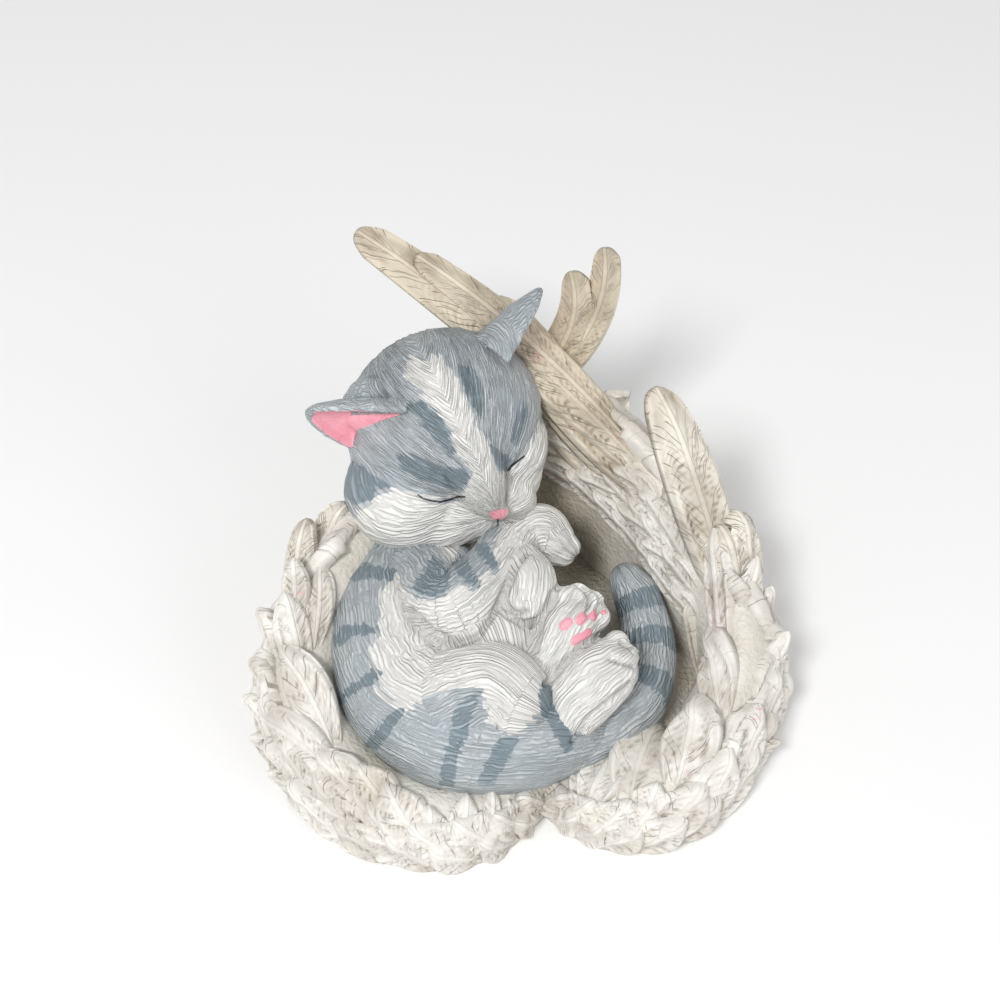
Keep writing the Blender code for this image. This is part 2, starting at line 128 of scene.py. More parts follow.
def take_in(bm, other):
    """Add a finished bmesh to a larger one."""
    mesh = bpy.data.meshes.new("taken in")
    other.to_mesh(mesh)
    other.free()
    bm.from_mesh(mesh)
    bpy.data.meshes.remove(mesh)


def to_piece(bm, name):
    """Turn a bmesh in millimetres into an object in metres, shaded smooth."""
    bmesh.ops.scale(bm, vec=(MM, MM, MM), verts=bm.verts)
    mesh = bpy.data.meshes.new(name)
    bm.to_mesh(mesh)
    bm.free()
    mesh.shade_smooth()
    piece = bpy.data.objects.new(name, mesh)
    bpy.context.scene.collection.objects.link(piece)
    print(name, len(mesh.vertices), "points")
    return piece


# %% [markdown]
# ## The kitten's body
# A sculptor would build the kitten from rolls and balls of clay and then smooth them together. Blender can do the
# same: close-set balls along each limb's route, run together by a voxel remesh, with a smooth pass over the creases.
# Subdividing a cage would need a hand-made cage for every fold of the curled body, and metaballs would swell where
# limbs touch. A remesh keeps each form where it was put.

# %% the kitten's routes as x, y, z and radius
SPINE = [
    (-20, 30, 22, 10),
    (-25.5, 18.5, 18.5, 12.8),
    (-26, 3, 19, 15),
    (-21.5, -12, 18, 15),
    (-11, -19, 18, 15),
    (1.5, -19, 16, 13),
    (11, -17.5, 14, 9),
]
BELLY = [(-14.5, 9, 20.5, 14.5), (-9, -3, 20, 16)]
NEAR_THIGH = [(-12, -18, 22, 13), (-6, -17.5, 25, 11.5), (-2.5, -19, 25, 10)]
NEAR_FOOT = [(8, -20.8, 18.5, 5), (10.6, -17.6, 22.5, 7.3), (14.8, -14.2, 25, 7.8), (18, -11.9, 26, 7)]
FAR_FOOT = [(4, -13.5, 22, 7), (8, -7.1, 26.5, 6.8), (10.4, -3.2, 29, 6.6), (12.6, -0.4, 29.5, 5.6)]
NEAR_ARM = [
    (-20.5, 12, 26, 9.2),
    (-14.2, -1, 33, 8),
    (-6.5, 7.3, 33.3, 6.8),
    (-0.5, 19, 31.9, 6.3),
    (4.4, 22, 31.7, 6.3),
    (7.2, 20.8, 30.7, 5.4),
]
FAR_PAW = [(-2, 15.5, 29.5, 6.3), (2.2, 5.8, 33, 6.3), (2.3, 0.6, 32, 5.4)]
TAIL = [
    (8.8, -20.5, 13.5, 8),
    (18.5, -15.8, 12, 6.8),
    (26.3, -8.5, 12, 6.3),
    (28.7, 1.5, 12.5, 6.1),
    (28.2, 9.7, 14.5, 5.8),
    (26.4, 15.7, 17, 5.2),
    (24.4, 18.5, 19.5, 4),
]
LIMBS = {
    "body": SPINE, "belly": BELLY, "thigh": NEAR_THIGH, "near foot": NEAR_FOOT, "far foot": FAR_FOOT,
    "arm": NEAR_ARM, "far paw": FAR_PAW, "tail": TAIL,
}
TOE_RADIUS = 2.7
TOES = [
    (21.8, -13.2, 27.6), (22.4, -9.8, 28.6), (20.4, -7.0, 29.6),
    (9.6, 1.6, 33.4), (12.6, 2.4, 33.4), (15.4, 1.4, 32.4), (16.8, -1.0, 30.6),
    (7.4, 17.6, 29.3), (9.8, 17.6, 29.1), (11.2, 19.4, 29.7),
    (1.0, -1.8, 31.4), (4.2, -1.6, 31.6),
]

# %% the head in its own frame: +X to the viewer's right, +Y to the crown, +Z out of the face
HEAD_CENTRE = (-13.7, 39, 46.2)
HEAD_TURN = 19.8
HEAD_TILT = 14
HEAD_MASSES = [
    ((-1.5, 1.8, -2), (22, 20.5, 20)),
    ((-3.8, -8.3, 9.8), (18.6, 9.7, 12.4)),
    ((-14.6, -4.8, 6), (14.2, 12.6, 14)),
    ((7.5, -4.5, 5), (11, 9.5, 12)),
    ((-2.7, -9, 17.6), (5.8, 5.2, 5.2)),
    ((4.9, -9, 17.2), (5.6, 5.2, 5.2)),
    ((-14.5, 15, -2), (6.5, 6, 6.5)),
    ((2.5, -9.6, 19.4), (5.4, 4.4, 4.4)),
    ((1.1, -5.8, 22.3), (2.5, 1.7, 1.6)),
]
NOSE_BRIDGE = [(0, 6, 12.5, 7.5), (0, 0, 16.5, 5.6), (0, -4.2, 19.6, 3.4)]
EAR_WALL = 1.7
EAR_HALF_WIDTH = 11.0
EAR_TIP_WIDTH = 0.35
EAR_FULLNESS = 0.55
EAR_DEPTH = 0.85
EAR_BEND = math.radians(78)
EAR_BACK = 0.45
LEFT_EAR = {"base": (-12.5, 12, 3), "tip": (-27.9, 22.6, -1), "opening": (-0.3, -0.2, 1)}
RIGHT_EAR = {"base": (15, 13, -4.5), "tip": (29.3, 20.3, -8.5), "opening": (0.8, -0.36, 0.37)}
head_axes = Matrix(((1, 0, 0), (0, 0, -1), (0, 1, 0))).to_4x4()
head_turn = Matrix.Rotation(math.radians(HEAD_TURN), 4, "Z") @ Matrix.Rotation(math.radians(-HEAD_TILT), 4, "Y")
HEAD_FRAME = Matrix.Translation(HEAD_CENTRE) @ head_turn @ head_axes
print("nose tip at", [round(v, 1) for v in HEAD_FRAME @ Vector((0, -5.6, 22.2))])

# %% balls, limbs and ears
unit_ball = bpy.data.meshes.new("unit ball")
ball = bmesh.new()
bmesh.ops.create_uvsphere(ball, u_segments=20, v_segments=12, radius=1.0)
ball.to_mesh(unit_ball)
ball.free()


def add_ball(bm, centre, radii, turn=Matrix.Identity(4)):
    """One rounded mass: a ball drawn out to three radii."""
    before = len(bm.verts)
    bm.from_mesh(unit_ball)
    bm.verts.ensure_lookup_table()
    placed = turn @ Matrix.Translation(centre) @ Matrix.Diagonal((*radii, 1.0))
    bmesh.ops.transform(bm, matrix=placed, verts=bm.verts[before:])


def add_limb(bm, route, turn=Matrix.Identity(4), steps_each=7):
    """A limb: close-set balls along a route."""
    count = steps_each * (len(route) - 1)
    for step in range(count + 1):
        x, y, z, radius = along(route, step / count)
        add_ball(bm, (x, y, z), (radius, radius, radius), turn)


def ear_axes(ear):
    """An ear's base, tip and the three directions along it, out of its opening and to its side."""
    base, tip, opening = Vector(ear["base"]), Vector(ear["tip"]), Vector(ear["opening"])
    axis = (tip - base).normalized()
    opening = (opening - axis * opening.dot(axis)).normalized()
    return base, tip, axis, opening, axis.cross(opening)


def ear_width(up):
    """Half an ear's width at a share of its height."""
    return EAR_HALF_WIDTH * (1 - up) ** EAR_FULLNESS + EAR_TIP_WIDTH


def add_ear(bm, ear):
    """A cupped ear: a grid bent round the line from base to tip, with its wall added."""
    base, tip, axis, opening, side = ear_axes(ear)
    shell = bmesh.new()
    bmesh.ops.create_grid(shell, x_segments=20, y_segments=16, size=1.0)
    for vert in shell.verts:
        across, up = vert.co.x, (vert.co.y + 1) / 2
        width, bend = ear_width(up), across * EAR_BEND
        cupped = opening * width * EAR_DEPTH * (EAR_BACK - math.cos(bend))
        vert.co = base.lerp(tip, up) + side * width * math.sin(bend) + cupped
    bmesh.ops.recalc_face_normals(shell, faces=shell.faces)
    bmesh.ops.solidify(shell, geom=shell.faces[:], thickness=EAR_WALL)
    bmesh.ops.transform(shell, matrix=HEAD_FRAME, verts=shell.verts)
    take_in(bm, shell)


# %% run the masses together
BODY_VOXEL = 0.46
HEAD_VOXEL = 0.40
EASINGS = 12
FLOOR_LEVEL = 5.35


def run_together(bm, name, voxel, easings):
    """Overlapping masses made one skin, its creases eased."""
    lump = to_piece(bm, "masses")
    remesh = lump.modifiers.new("run together", "REMESH")
    remesh.mode = "VOXEL"
    remesh.voxel_size = voxel * MM
    ease = lump.modifiers.new("ease creases", "SMOOTH")
    ease.factor = 0.5
    ease.iterations = easings
    graph = bpy.context.evaluated_depsgraph_get()
    mesh = bpy.data.meshes.new_from_object(lump.evaluated_get(graph))
    bpy.data.objects.remove(lump)
    mesh.name = name
    piece = bpy.data.objects.new(name, mesh)
    bpy.context.scene.collection.objects.link(piece)
    print(name, len(mesh.vertices), "points,", len(mesh.polygons), "faces")
    return piece


masses = bmesh.new()
for limb_route in LIMBS.values():
    add_limb(masses, limb_route)
for toe in TOES:
    add_ball(masses, toe, (TOE_RADIUS, TOE_RADIUS, TOE_RADIUS))
kitten_body = run_together(masses, "kitten_body", BODY_VOXEL, EASINGS)
bm = bmesh.new()
bm.from_mesh(kitten_body.data)
cut = bmesh.ops.bisect_plane(
    bm, geom=bm.verts[:] + bm.edges[:] + bm.faces[:], plane_co=(0, 0, FLOOR_LEVEL * MM), plane_no=(0, 0, -1),
    clear_outer=True,
)
bmesh.ops.holes_fill(bm, edges=[e for e in cut["geom_cut"] if isinstance(e, bmesh.types.BMEdge)], sides=0)
bm.to_mesh(kitten_body.data)
bm.free()

masses = bmesh.new()
for mass_centre, mass_radii in HEAD_MASSES:
    add_ball(masses, mass_centre, mass_radii, HEAD_FRAME)
add_limb(masses, NOSE_BRIDGE, HEAD_FRAME)
add_ear(masses, LEFT_EAR)
add_ear(masses, RIGHT_EAR)
kitten_head = run_together(masses, "kitten_head", HEAD_VOXEL, EASINGS)

# %% [markdown]
# ## Which way the fur lies
# Fur follows each limb from its root to its tip, and on the head it spreads from the nose. To carve and paint along
# it, every point of the skin is told where it would be if its limb were pulled straight: how far along, and in which
# direction round. A pattern drawn out along that straightened limb then follows every bend of the real one. A UV map
# would need cuts, and each cut would show as a break in the fur.

# %% straighten the limbs


def positions(piece):
    """A piece's points and their outward directions, as arrays in millimetres."""
    count = len(piece.data.vertices)
    points, normals = np.empty(count * 3), np.empty(count * 3)
    piece.data.vertices.foreach_get("co", points)
    piece.data.vertices.foreach_get("normal", normals)
    return points.reshape(-1, 3) / MM, normals.reshape(-1, 3)


def set_values(piece, name, values):
    """Keep one number or one vector for each point of a piece as an attribute."""
    kind = "FLOAT" if values.ndim == 1 else "FLOAT_VECTOR"
    layer = piece.data.attributes.new(name, kind, "POINT")
    layer.data.foreach_set("value" if kind == "FLOAT" else "vector", np.ascontiguousarray(values, "f").ravel())


def set_fur(piece, places, part_of):
    """Keep the straightened place at every corner of a face, so that no face spans two limbs."""
    loops = np.empty(len(piece.data.loops), int)
    piece.data.loops.foreach_get("vertex_index", loops)
    starts, totals = np.empty(len(piece.data.polygons), int), np.empty(len(piece.data.polygons), int)
    piece.data.polygons.foreach_get("loop_start", starts)
    piece.data.polygons.foreach_get("loop_total", totals)
    part = np.repeat(part_of[loops[starts]], totals)
    layer = piece.data.attributes.new("fur", "FLOAT_VECTOR", "CORNER")
    layer.data.foreach_set("vector", np.asarray(places)[part, loops].astype("f").ravel())


def straighten(points, route, samples=48):
    """How near each point is to a limb's surface, and its place on the straightened limb."""
    rows = np.array([along(route, k / (samples - 1)) for k in range(samples)])
    centres, radii = rows[:, :3], rows[:, 3]
    runs = np.gradient(centres, axis=0)
    runs /= np.linalg.norm(runs, axis=1)[:, None]
    travelled = np.concatenate([[0.0], np.cumsum(np.linalg.norm(np.diff(centres, axis=0), axis=1))])
    sides = np.zeros_like(runs)
    side = np.cross(runs[0], (0.0, 0.0, 1.0))
    for k, run in enumerate(runs):
        side = side - run * side.dot(run)
        side /= np.linalg.norm(side)
        sides[k] = side
    nearest = np.full(len(points), 1e9)
    index = np.zeros(len(points), int)
    for k in range(samples):
        gap = np.linalg.norm(points - centres[k], axis=1) - radii[k]
        closer = gap < nearest
        nearest[closer], index[closer] = gap[closer], k
    offset = points - centres[index]
    ahead = np.einsum("ij,ij->i", offset, runs[index])
    ahead = np.clip(ahead, -4.0, 4.0)
    out = offset - ahead[:, None] * runs[index]
    across = np.einsum("ij,ij->i", out, sides[index])
    over = np.einsum("ij,ij->i", out, np.cross(runs[index], sides[index]))
    size = np.maximum(np.hypot(across, over), 0.3)
    girth = radii.mean()
    return nearest, np.stack([across / size * girth, over / size * girth, travelled[index] + ahead], axis=1)


body_points, body_normals = positions(kitten_body)
limb_names = list(LIMBS)
gaps, places = zip(*[straighten(body_points, LIMBS[name]) for name in limb_names])
limb_of = np.argmin(np.array(gaps), axis=0)
fur_place = np.array(places)[limb_of, np.arange(len(body_points))]
print({name: int((limb_of == k).sum()) for k, name in enumerate(limb_names)})

# %% the fur on the head: it spreads from the nose, parts along the brow and runs out along the ears
STROKE_TURN = 0.8
PARTING_WIDTH = 0.7
EAR_FOOT = 6.5
EAR_MARGIN = 2.0
EAR_THICK = 9.0
EAR_MIDDLE = 0.38
EAR_RIM = 0.25

head_points, head_normals = positions(kitten_head)
to_head = np.array(HEAD_FRAME.inverted())
in_head = head_points @ to_head[:3, :3].T + to_head[:3, 3]
head_facing = head_normals @ to_head[:3, :3].T
nose = Vector((1.1, -5.8, 22.3)).normalized()
up_brow = (Vector((0, 1, 0)) - nose * nose.y).normalized()
away = in_head / np.linalg.norm(in_head, axis=1)[:, None]
spread = np.arccos(np.clip(away @ np.array(nose), -1, 1))
turn = np.arctan2(away @ np.array(up_brow.cross(nose)), away @ np.array(up_brow))
swirl = STROKE_TURN * spread * np.exp(-((turn / PARTING_WIDTH) ** 2))
head_sets = [
    np.stack([18 * np.cos(turn + sign * swirl), 18 * np.sin(turn + sign * swirl), 20 * spread], axis=1)
    for sign in (1, -1)
]
head_part = (turn > 0).astype(int)
ear_pink = np.full(len(in_head), -3.0)
for part, ear in enumerate((LEFT_EAR, RIGHT_EAR), 2):
    base, tip, axis, opening, side = ear_axes(ear)
    offset = in_head - np.array(base)
    height = offset @ np.array(axis)
    up = np.clip(height / (tip - base).length, 0, 1)
    width = ear_width(up)
    over, across = offset @ np.array(opening), offset @ np.array(side)
    on_ear = (height > EAR_FOOT) & (np.abs(across) < EAR_HALF_WIDTH + EAR_MARGIN) & (np.abs(over) < EAR_THICK)
    head_sets.append(np.stack([across, over, height + 40], axis=1))
    head_part[on_ear] = part
    inward = -head_facing @ np.array(side) * across + head_facing @ np.array(opening) * (EAR_MIDDLE * width - over)
    inner = on_ear & (inward > EAR_RIM * width)
    ear_pink[inner] = 2.0
head_fur = np.array(head_sets)[head_part, np.arange(len(head_points))]
set_fur(kitten_head, head_sets, head_part)
set_fur(kitten_body, places, limb_of)
print("ear lining", int((ear_pink > 0).sum()), "points")

# %% [markdown]
# ## The markings
# The coat is painted by hand: white below, grey above, dark tabby stripes, pink ears, nose and pads. A painter sees
# the kitten as the photograph does, so each marking is drawn as an outline or a stroke on the picture plane, and it
# lands where the lines of sight through it meet the fur. What it leaves on each point is how far inside the marking
# the point lies. The paint can then make the edge jagged along the strokes, which a baked colour could not do.

# %% stencils on the picture plane, in pixels of a picture 1000 wide
WHITE_FACE = [
    (405, 357), (438, 357), (448, 366), (458, 378), (465, 394), (470, 409), (476, 425), (484, 437), (491, 449),
    (495, 461), (500, 471), (509, 468), (522, 459), (531, 440), (539, 423), (555, 414), (575, 435), (575, 573),
    (343, 573), (357, 509), (369, 502), (376, 493), (390, 489), (407, 492), (419, 495), (434, 502), (448, 502),
    (458, 497), (465, 487), (470, 473), (465, 462), (455, 456), (451, 442), (449, 428), (436, 418), (431, 407),
    (422, 395), (419, 383), (405, 381),
]
DARK_ON_HEAD = [
    [(408, 402), (420, 401), (438, 413), (449, 428), (450, 440), (456, 452), (451, 457), (438, 445), (427, 431),
     (419, 418), (408, 409)],
    [(393, 457), (407, 454), (420, 459), (438, 466), (464, 468), (470, 474), (467, 485), (460, 490), (441, 485),
     (420, 480), (403, 471)],
    [(335, 466), (352, 462), (365, 469), (381, 480), (390, 487), (376, 493), (369, 502), (357, 507), (340, 495)],
    [(457, 363), (469, 366), (479, 380), (484, 397), (482, 418), (474, 411), (465, 390), (458, 376)],
    [(522, 399), (529, 411), (525, 431), (517, 445), (511, 440), (513, 425), (519, 409)],
    [(491, 445), (503, 452), (512, 461), (507, 471), (498, 471)],
]
NOSE = [(488, 512), (494, 511), (505, 508), (509, 511), (505, 518), (498, 521), (492, 519)]
CLOSED_EYES = [
    [(418, 495), (424, 499), (433, 501), (441, 502), (450, 500), (457, 497), (464, 498)],
    [(509, 471), (511, 468), (518, 462), (525, 456)],
]
MOUTH = [[(498, 521), (497, 527), (489, 533)], [(497, 527), (503, 528), (513, 524)]]
LID_EDGE = [(423, 496), (432, 498), (441, 499), (450, 497), (459, 494)]
INNER_EARS = [
    [(345, 415), (402, 413), (397, 416), (383, 420), (357, 430), (352, 446), (343, 446)],
    [(545, 300), (545, 330), (524, 358), (519, 354), (528, 334), (537, 314)],
]
WHITE_BELOW = [
    (392, 573), (377, 596), (383, 615), (377, 630), (371, 653), (373, 672), (377, 691), (404, 712), (417, 701),
    (440, 693), (469, 686), (482, 687), (488, 720), (509, 737), (526, 730), (540, 710), (542, 691), (545, 682),
    (561, 703), (565, 720), (574, 737), (589, 716), (612, 699), (640, 680), (640, 500), (500, 480), (501, 529),
    (494, 550), (499, 573), (480, 575), (478, 590), (455, 584), (448, 594), (432, 601), (417, 601), (406, 586),
]
CHEST_WHITE = [(431, 535), (471, 535), (461, 552), (451, 564), (442, 552)]
DARK_ON_BODY = [
    [(432, 554), (444, 563), (451, 575), (446, 596), (432, 599), (417, 596), (411, 588), (423, 573)],
    [(453, 563), (467, 557), (473, 571), (479, 587), (469, 584), (457, 575)],
    [(476, 545), (488, 544), (494, 557), (499, 571), (486, 563), (478, 555)],
    [(545, 682), (561, 693), (562, 708), (570, 730), (574, 745), (567, 754), (555, 737), (542, 716), (539, 691)],
]
STRIPES = [
    [(344, 575), (346, 565), (366, 563), (394, 570), (392, 581), (366, 578), (346, 583)],
    [(332, 636), (344, 626), (362, 623), (377, 626), (379, 632), (356, 636), (335, 647)],
    [(336, 707), (339, 694), (356, 682), (373, 669), (381, 673), (371, 685), (350, 695), (338, 708)],
    [(364, 746), (377, 730), (389, 713), (404, 708), (402, 717), (391, 731), (376, 749)],
    [(439, 787), (443, 757), (451, 733), (453, 714), (465, 697), (482, 691), (473, 709), (468, 733), (459, 755),
     (453, 788)],
    [(478, 782), (484, 766), (493, 748), (505, 735), (520, 736), (512, 753), (501, 770), (493, 784)],
]
TAIL_BANDS = [(24, 2.4), (35.5, 2.4), (45.4, 2.6)]
TOE_PADS = [
    ([(564, 626), (568, 622)], 5), ([(580, 620), (584, 616)], 5), ([(593, 617), (595, 613)], 4), ([(604, 612)], 2.5),
    ([(575, 641), (588, 633)], 4.5),
]
TOE_LINES = [
    [(579, 584), (587, 590), (591, 600), (587, 614)], [(593, 586), (600, 592), (602, 602), (597, 614)],
    [(612, 659), (624, 663), (634, 666)], [(622, 641), (631, 646), (635, 652)],
]
LIMB_EDGES = [
    [(410, 609), (434, 633), (458, 643), (478, 637), (492, 618), (508, 586), (517, 565), (527, 553)],
    [(500, 606), (509, 616), (524, 624), (538, 620), (551, 606), (557, 588)], [(501, 604), (515, 613), (526, 612)],
    [(553, 592), (541, 622), (536, 650)], [(546, 684), (563, 664), (583, 646), (600, 635)],
    [(574, 742), (588, 718), (612, 700), (632, 683)],
]


def in_picture(points):
    """Where points in millimetres fall in the picture, in pixels from its left and top."""
    offset = points - np.array(lens_place)
    scale = -LENS_IN_PIXELS / (offset @ np.array(toward_lens))
    middle = PICTURE_WIDTH / 2
    across, above = offset @ np.array(picture_right), offset @ np.array(picture_up)
    return np.stack([middle + across * scale, middle - above * scale], axis=1)


def to_stroke(places, stroke):
    """How many pixels each place is from a stroke."""
    nearest = np.linalg.norm(places - stroke[0], axis=1)
    for start, end in zip(stroke, stroke[1:]):
        run = np.subtract(end, start)
        share = np.clip((places - start) @ run / (run @ run), 0, 1)
        nearest = np.minimum(nearest, np.linalg.norm(places - start - share[:, None] * run, axis=1))
    return nearest


def inside(places, outline):
    """How many pixels each place is inside a closed outline, negative outside it."""
    nearest = to_stroke(places, outline + outline[:1])
    within = np.zeros(len(places), bool)
    for (x0, y0), (x1, y1) in zip(outline, outline[1:] + outline[:1]):
        level = (y0 > places[:, 1]) != (y1 > places[:, 1])
        within ^= level & (places[:, 0] < x0 + (places[:, 1] - y0) * (x1 - x0) / ((y1 - y0) or 1e-9))
    return np.where(within, nearest, -nearest)


def largest(values):
    """The largest of several arrays at each place."""
    return np.max(np.array(list(values)), axis=0)


# %% lay the stencils on the head and the body
OUTSIDE = -3.0
NO_LINE = 9.0
LID_WIDTH = 2.0
PAWS = ["near foot", "far foot", "far paw"]


def laid(places, seen, outlines, elsewhere=OUTSIDE):
    """How many millimetres inside any of some outlines each point that shows is, and another value elsewhere."""
    return np.where(seen, largest(inside(places, outline) for outline in outlines) * mm_per_pixel, elsewhere)


def from_lines(places, lines):
    """How many millimetres each point is from the nearest of some lines."""
    return np.min([to_stroke(places, line) for line in lines], axis=0) * mm_per_pixel


head_places, body_places = in_picture(head_points), in_picture(body_points)
head_seen = head_normals @ np.array(toward_lens) > 0.05
body_seen = body_normals @ np.array(toward_lens) > 0.0
under_face = np.minimum(-4.0 - in_head[:, 1], in_head[:, 2] + 4.0)
lid_edge = np.where(head_seen, LID_WIDTH - to_stroke(head_places, LID_EDGE), OUTSIDE) * mm_per_pixel
head_white = np.maximum(laid(head_places, head_seen, [WHITE_FACE], under_face), lid_edge)
head_dark = laid(head_places, head_seen, DARK_ON_HEAD)
head_pink = np.maximum(laid(head_places, head_seen, [NOSE, *INNER_EARS]), ear_pink)
head_line = np.where(head_seen, from_lines(head_places, CLOSED_EYES + MOUTH), NO_LINE)

limb = np.array(limb_names)[limb_of]
on_paws, on_tail = np.isin(limb, PAWS), limb == "tail"
body_white = laid(body_places, body_seen, [WHITE_BELOW, CHEST_WHITE])
body_white[on_paws], body_white[on_tail] = -OUTSIDE, OUTSIDE
bands = largest(half_width - np.abs(fur_place[:, 2] - middle) for middle, half_width in TAIL_BANDS)
body_dark = laid(body_places, body_seen & ~on_paws, DARK_ON_BODY + STRIPES)
body_dark[on_tail] = bands[on_tail]
body_pink = largest(radius - to_stroke(body_places, pad) for pad, radius in TOE_PADS) * mm_per_pixel
body_pink[~body_seen | (limb != "far foot")] = OUTSIDE
toe_lines = np.where(on_paws, from_lines(body_places, TOE_LINES), NO_LINE)
body_cleft = np.where(body_seen, np.minimum(toe_lines, from_lines(body_places, LIMB_EDGES)), NO_LINE)
body_line = np.full(len(body_places), NO_LINE)

# %% carve the locks, the eyes, the mouth, the pads and the toes
LOCK_WIDTH = 2.0
LOCK_LENGTH = 7.0
LOCK_DEPTH = 0.28
LINE_WIDTH = 0.5
LINE_DEPTH = 0.35
CLEFT_WIDTH = 0.7
CLEFT_DEPTH = 1.0
PAD_HEIGHT = 0.45
PAD_EDGE = 0.6
EYELID = ((442, 490), 14)
EYELID_HEIGHT = 0.5


def hollows(piece, points, normals, passes=50):
    """How far each point lies below the mean of the skin round it."""
    count = len(points)
    pairs = np.empty(len(piece.data.edges) * 2, int)
    piece.data.edges.foreach_get("vertices", pairs)
    first, second = pairs.reshape(-1, 2).T
    share = np.bincount(first, minlength=count) + np.bincount(second, minlength=count)
    mean = points.copy()
    for _ in range(passes):
        mean = np.stack([
            np.bincount(first, mean[second, k], count) + np.bincount(second, mean[first, k], count) for k in range(3)
        ], axis=1) / share[:, None]
    return np.einsum("ij,ij->i", mean - points, normals)


def carve(piece, points, normals, fur, bare, rise):
    """Press the locks into the fur, add the rise of the features, and store the new places of the points."""
    scale = np.array((LOCK_WIDTH, LOCK_WIDTH, LOCK_LENGTH))
    locks = np.array([noise.noise(Vector(place)) for place in fur / scale])
    moved = points + normals * (LOCK_DEPTH * locks * (1 - bare) + rise)[:, None]
    moved[:, 2] = np.where(points[:, 2] <= FLOOR_LEVEL + 0.01, points[:, 2], np.maximum(moved[:, 2], FLOOR_LEVEL))
    piece.data.vertices.foreach_set("co", (moved * MM).ravel())
    piece.data.update()


lid_places, lid_size = EYELID
eyelid = np.exp(-(to_stroke(head_places, [lid_places]) / lid_size) ** 2) * head_seen
head_rise = EYELID_HEIGHT * eyelid - LINE_DEPTH * np.exp(-(head_line / LINE_WIDTH) ** 2)
clefts = np.exp(-(body_cleft / CLEFT_WIDTH) ** 2)
body_rise = PAD_HEIGHT * np.clip(body_pink / PAD_EDGE, 0, 1) - CLEFT_DEPTH * clefts
head_marks = (head_white, head_dark, head_pink, head_line)
body_marks = (body_white, body_dark, body_pink, body_line)
for piece, points, normals, fur, rise, cleft, marks in (
    (kitten_head, head_points, head_normals, head_fur, head_rise, 0.0, head_marks),
    (kitten_body, body_points, body_normals, fur_place, body_rise, clefts, body_marks),
):
    # The hollows, with the clefts along the toes and the limbs' edges added, are painted darker in the fur: a wash
    # with painted shade.
    set_values(piece, "hollow", hollows(piece, points, normals) + cleft)
    for name, values in zip(("white", "dark", "pink", "line"), marks):
        set_values(piece, name, values)
    carve(piece, points, normals, fur, np.clip(marks[2] + 1, 0, 1), rise)
    print(piece.name, "white on", round(float((marks[0] > 0).mean()), 2), "of its points")


# %% [markdown]
# ## The nest's walls
# Each wing is a wall that starts at the notch in front, runs round its side and meets the other behind the head. Its
# outline on the ground, its height and its width are a few rows, and one function gives any point of its skin: how
# far along the wing, and how far round from the ground outside, over the rim, to the ground inside. The wall is a
# straight tube bent onto that skin, and the rows of short feathers are laid on it by the same function.

# %% the wings' outlines as x, y, rim height, width outside the rim and width inside it
LEFT_WING = [
    (5.5, -30.5, 9, 6, 6),
    (-5, -40.5, 12, 7.5, 8),
    (-20, -43.5, 14, 8, 9),
    (-37, -36.5, 16.5, 8, 10),
    (-49.5, -22.5, 20, 7, 12),
    (-54.5, -7, 25, 6.5, 13),
    (-51, 8, 30, 6, 13),
    (-43.5, 20, 33, 5.5, 12),
    (-36.5, 32, 33.5, 5, 10),
    (-27.5, 45.5, 40, 5, 9),
    (1, 60.5, 46, 5, 7),
]
RIGHT_WING = [
    (5.5, -30.5, 9, 6, 6),
    (15, -37.5, 12, 7, 7),
    (27, -39, 14, 8, 8),
    (41, -32.5, 17, 9, 9.5),
    (51.5, -17.5, 21, 9, 10),
    (57, -2, 26, 8.5, 9),
    (52.5, 13, 29.5, 7.5, 8),
    (44, 25, 33, 6.5, 8),
    (33.5, 37.5, 41, 5.5, 8),
    (19.5, 51, 46, 5, 8),
    (1, 60.5, 46, 5, 7),
]
left = {"outline": LEFT_WING, "hand": 1, "name": "left"}
right = {"outline": RIGHT_WING, "hand": -1, "name": "right"}
FLOOR_TOP = 5.0
NOTCH = (5.5, -29.5)


def wall_point(wing, share, round_wall):
    """A point of a wing's wall: along the wing, and round it from the ground outside to the ground inside."""
    x, y, height, outer, inner = along(wing["outline"], share)
    ahead, behind = (along(wing["outline"], min(share, 0.99) + step) for step in (0.01, -0.01))
    run = Vector((ahead[0] - behind[0], ahead[1] - behind[1], 0.0)).normalized()
    outward = Vector((-run.y, run.x, 0.0)) * wing["hand"]
    angle = math.pi * round_wall
    inset = outer - (outer if angle < math.pi / 2 else inner) * math.cos(angle)
    rise = height * max(0.0, math.sin(angle)) ** 0.8
    return Vector((x, y, 0.0)) - outward * inset + Vector((0.0, 0.0, rise))


def wall_normal(wing, share, round_wall):
    """The direction straight out of a wing's wall."""
    step = 0.01
    around = min(max(round_wall, 2 * step), 1 - 2 * step)
    run = wall_point(wing, share + step, around) - wall_point(wing, share - step, around)
    over = wall_point(wing, share, around + step) - wall_point(wing, share, around - step)
    return run.cross(over).normalized() * -wing["hand"]


# %% bend each wall out of a tube, and lay the floor between them
WALL_SIDES = 72
WALL_STEPS = 150


def wall_tube(wing):
    """A wing's wall: a straight tube, its upper half bent onto the wall and its lower half laid on the ground."""
    tube = bmesh.new()
    bmesh.ops.create_cone(tube, cap_ends=True, segments=WALL_SIDES, radius1=1.0, radius2=1.0, depth=1.0)
    bmesh.ops.translate(tube, vec=(0, 0, 0.5), verts=tube.verts)
    lengthwise = [e for e in tube.edges if abs(e.verts[0].co.z - e.verts[1].co.z) > 0.5]
    bmesh.ops.subdivide_edges(tube, edges=lengthwise, cuts=WALL_STEPS - 1)
    for vert in tube.verts:
        angle = math.atan2(vert.co.y, vert.co.x)
        place = wall_point(wing, vert.co.z, abs(angle) / math.pi)
        vert.co = place if angle > 0 else Vector((place.x, place.y, 0.0))
    bmesh.ops.recalc_face_normals(tube, faces=tube.faces[:])
    return tube


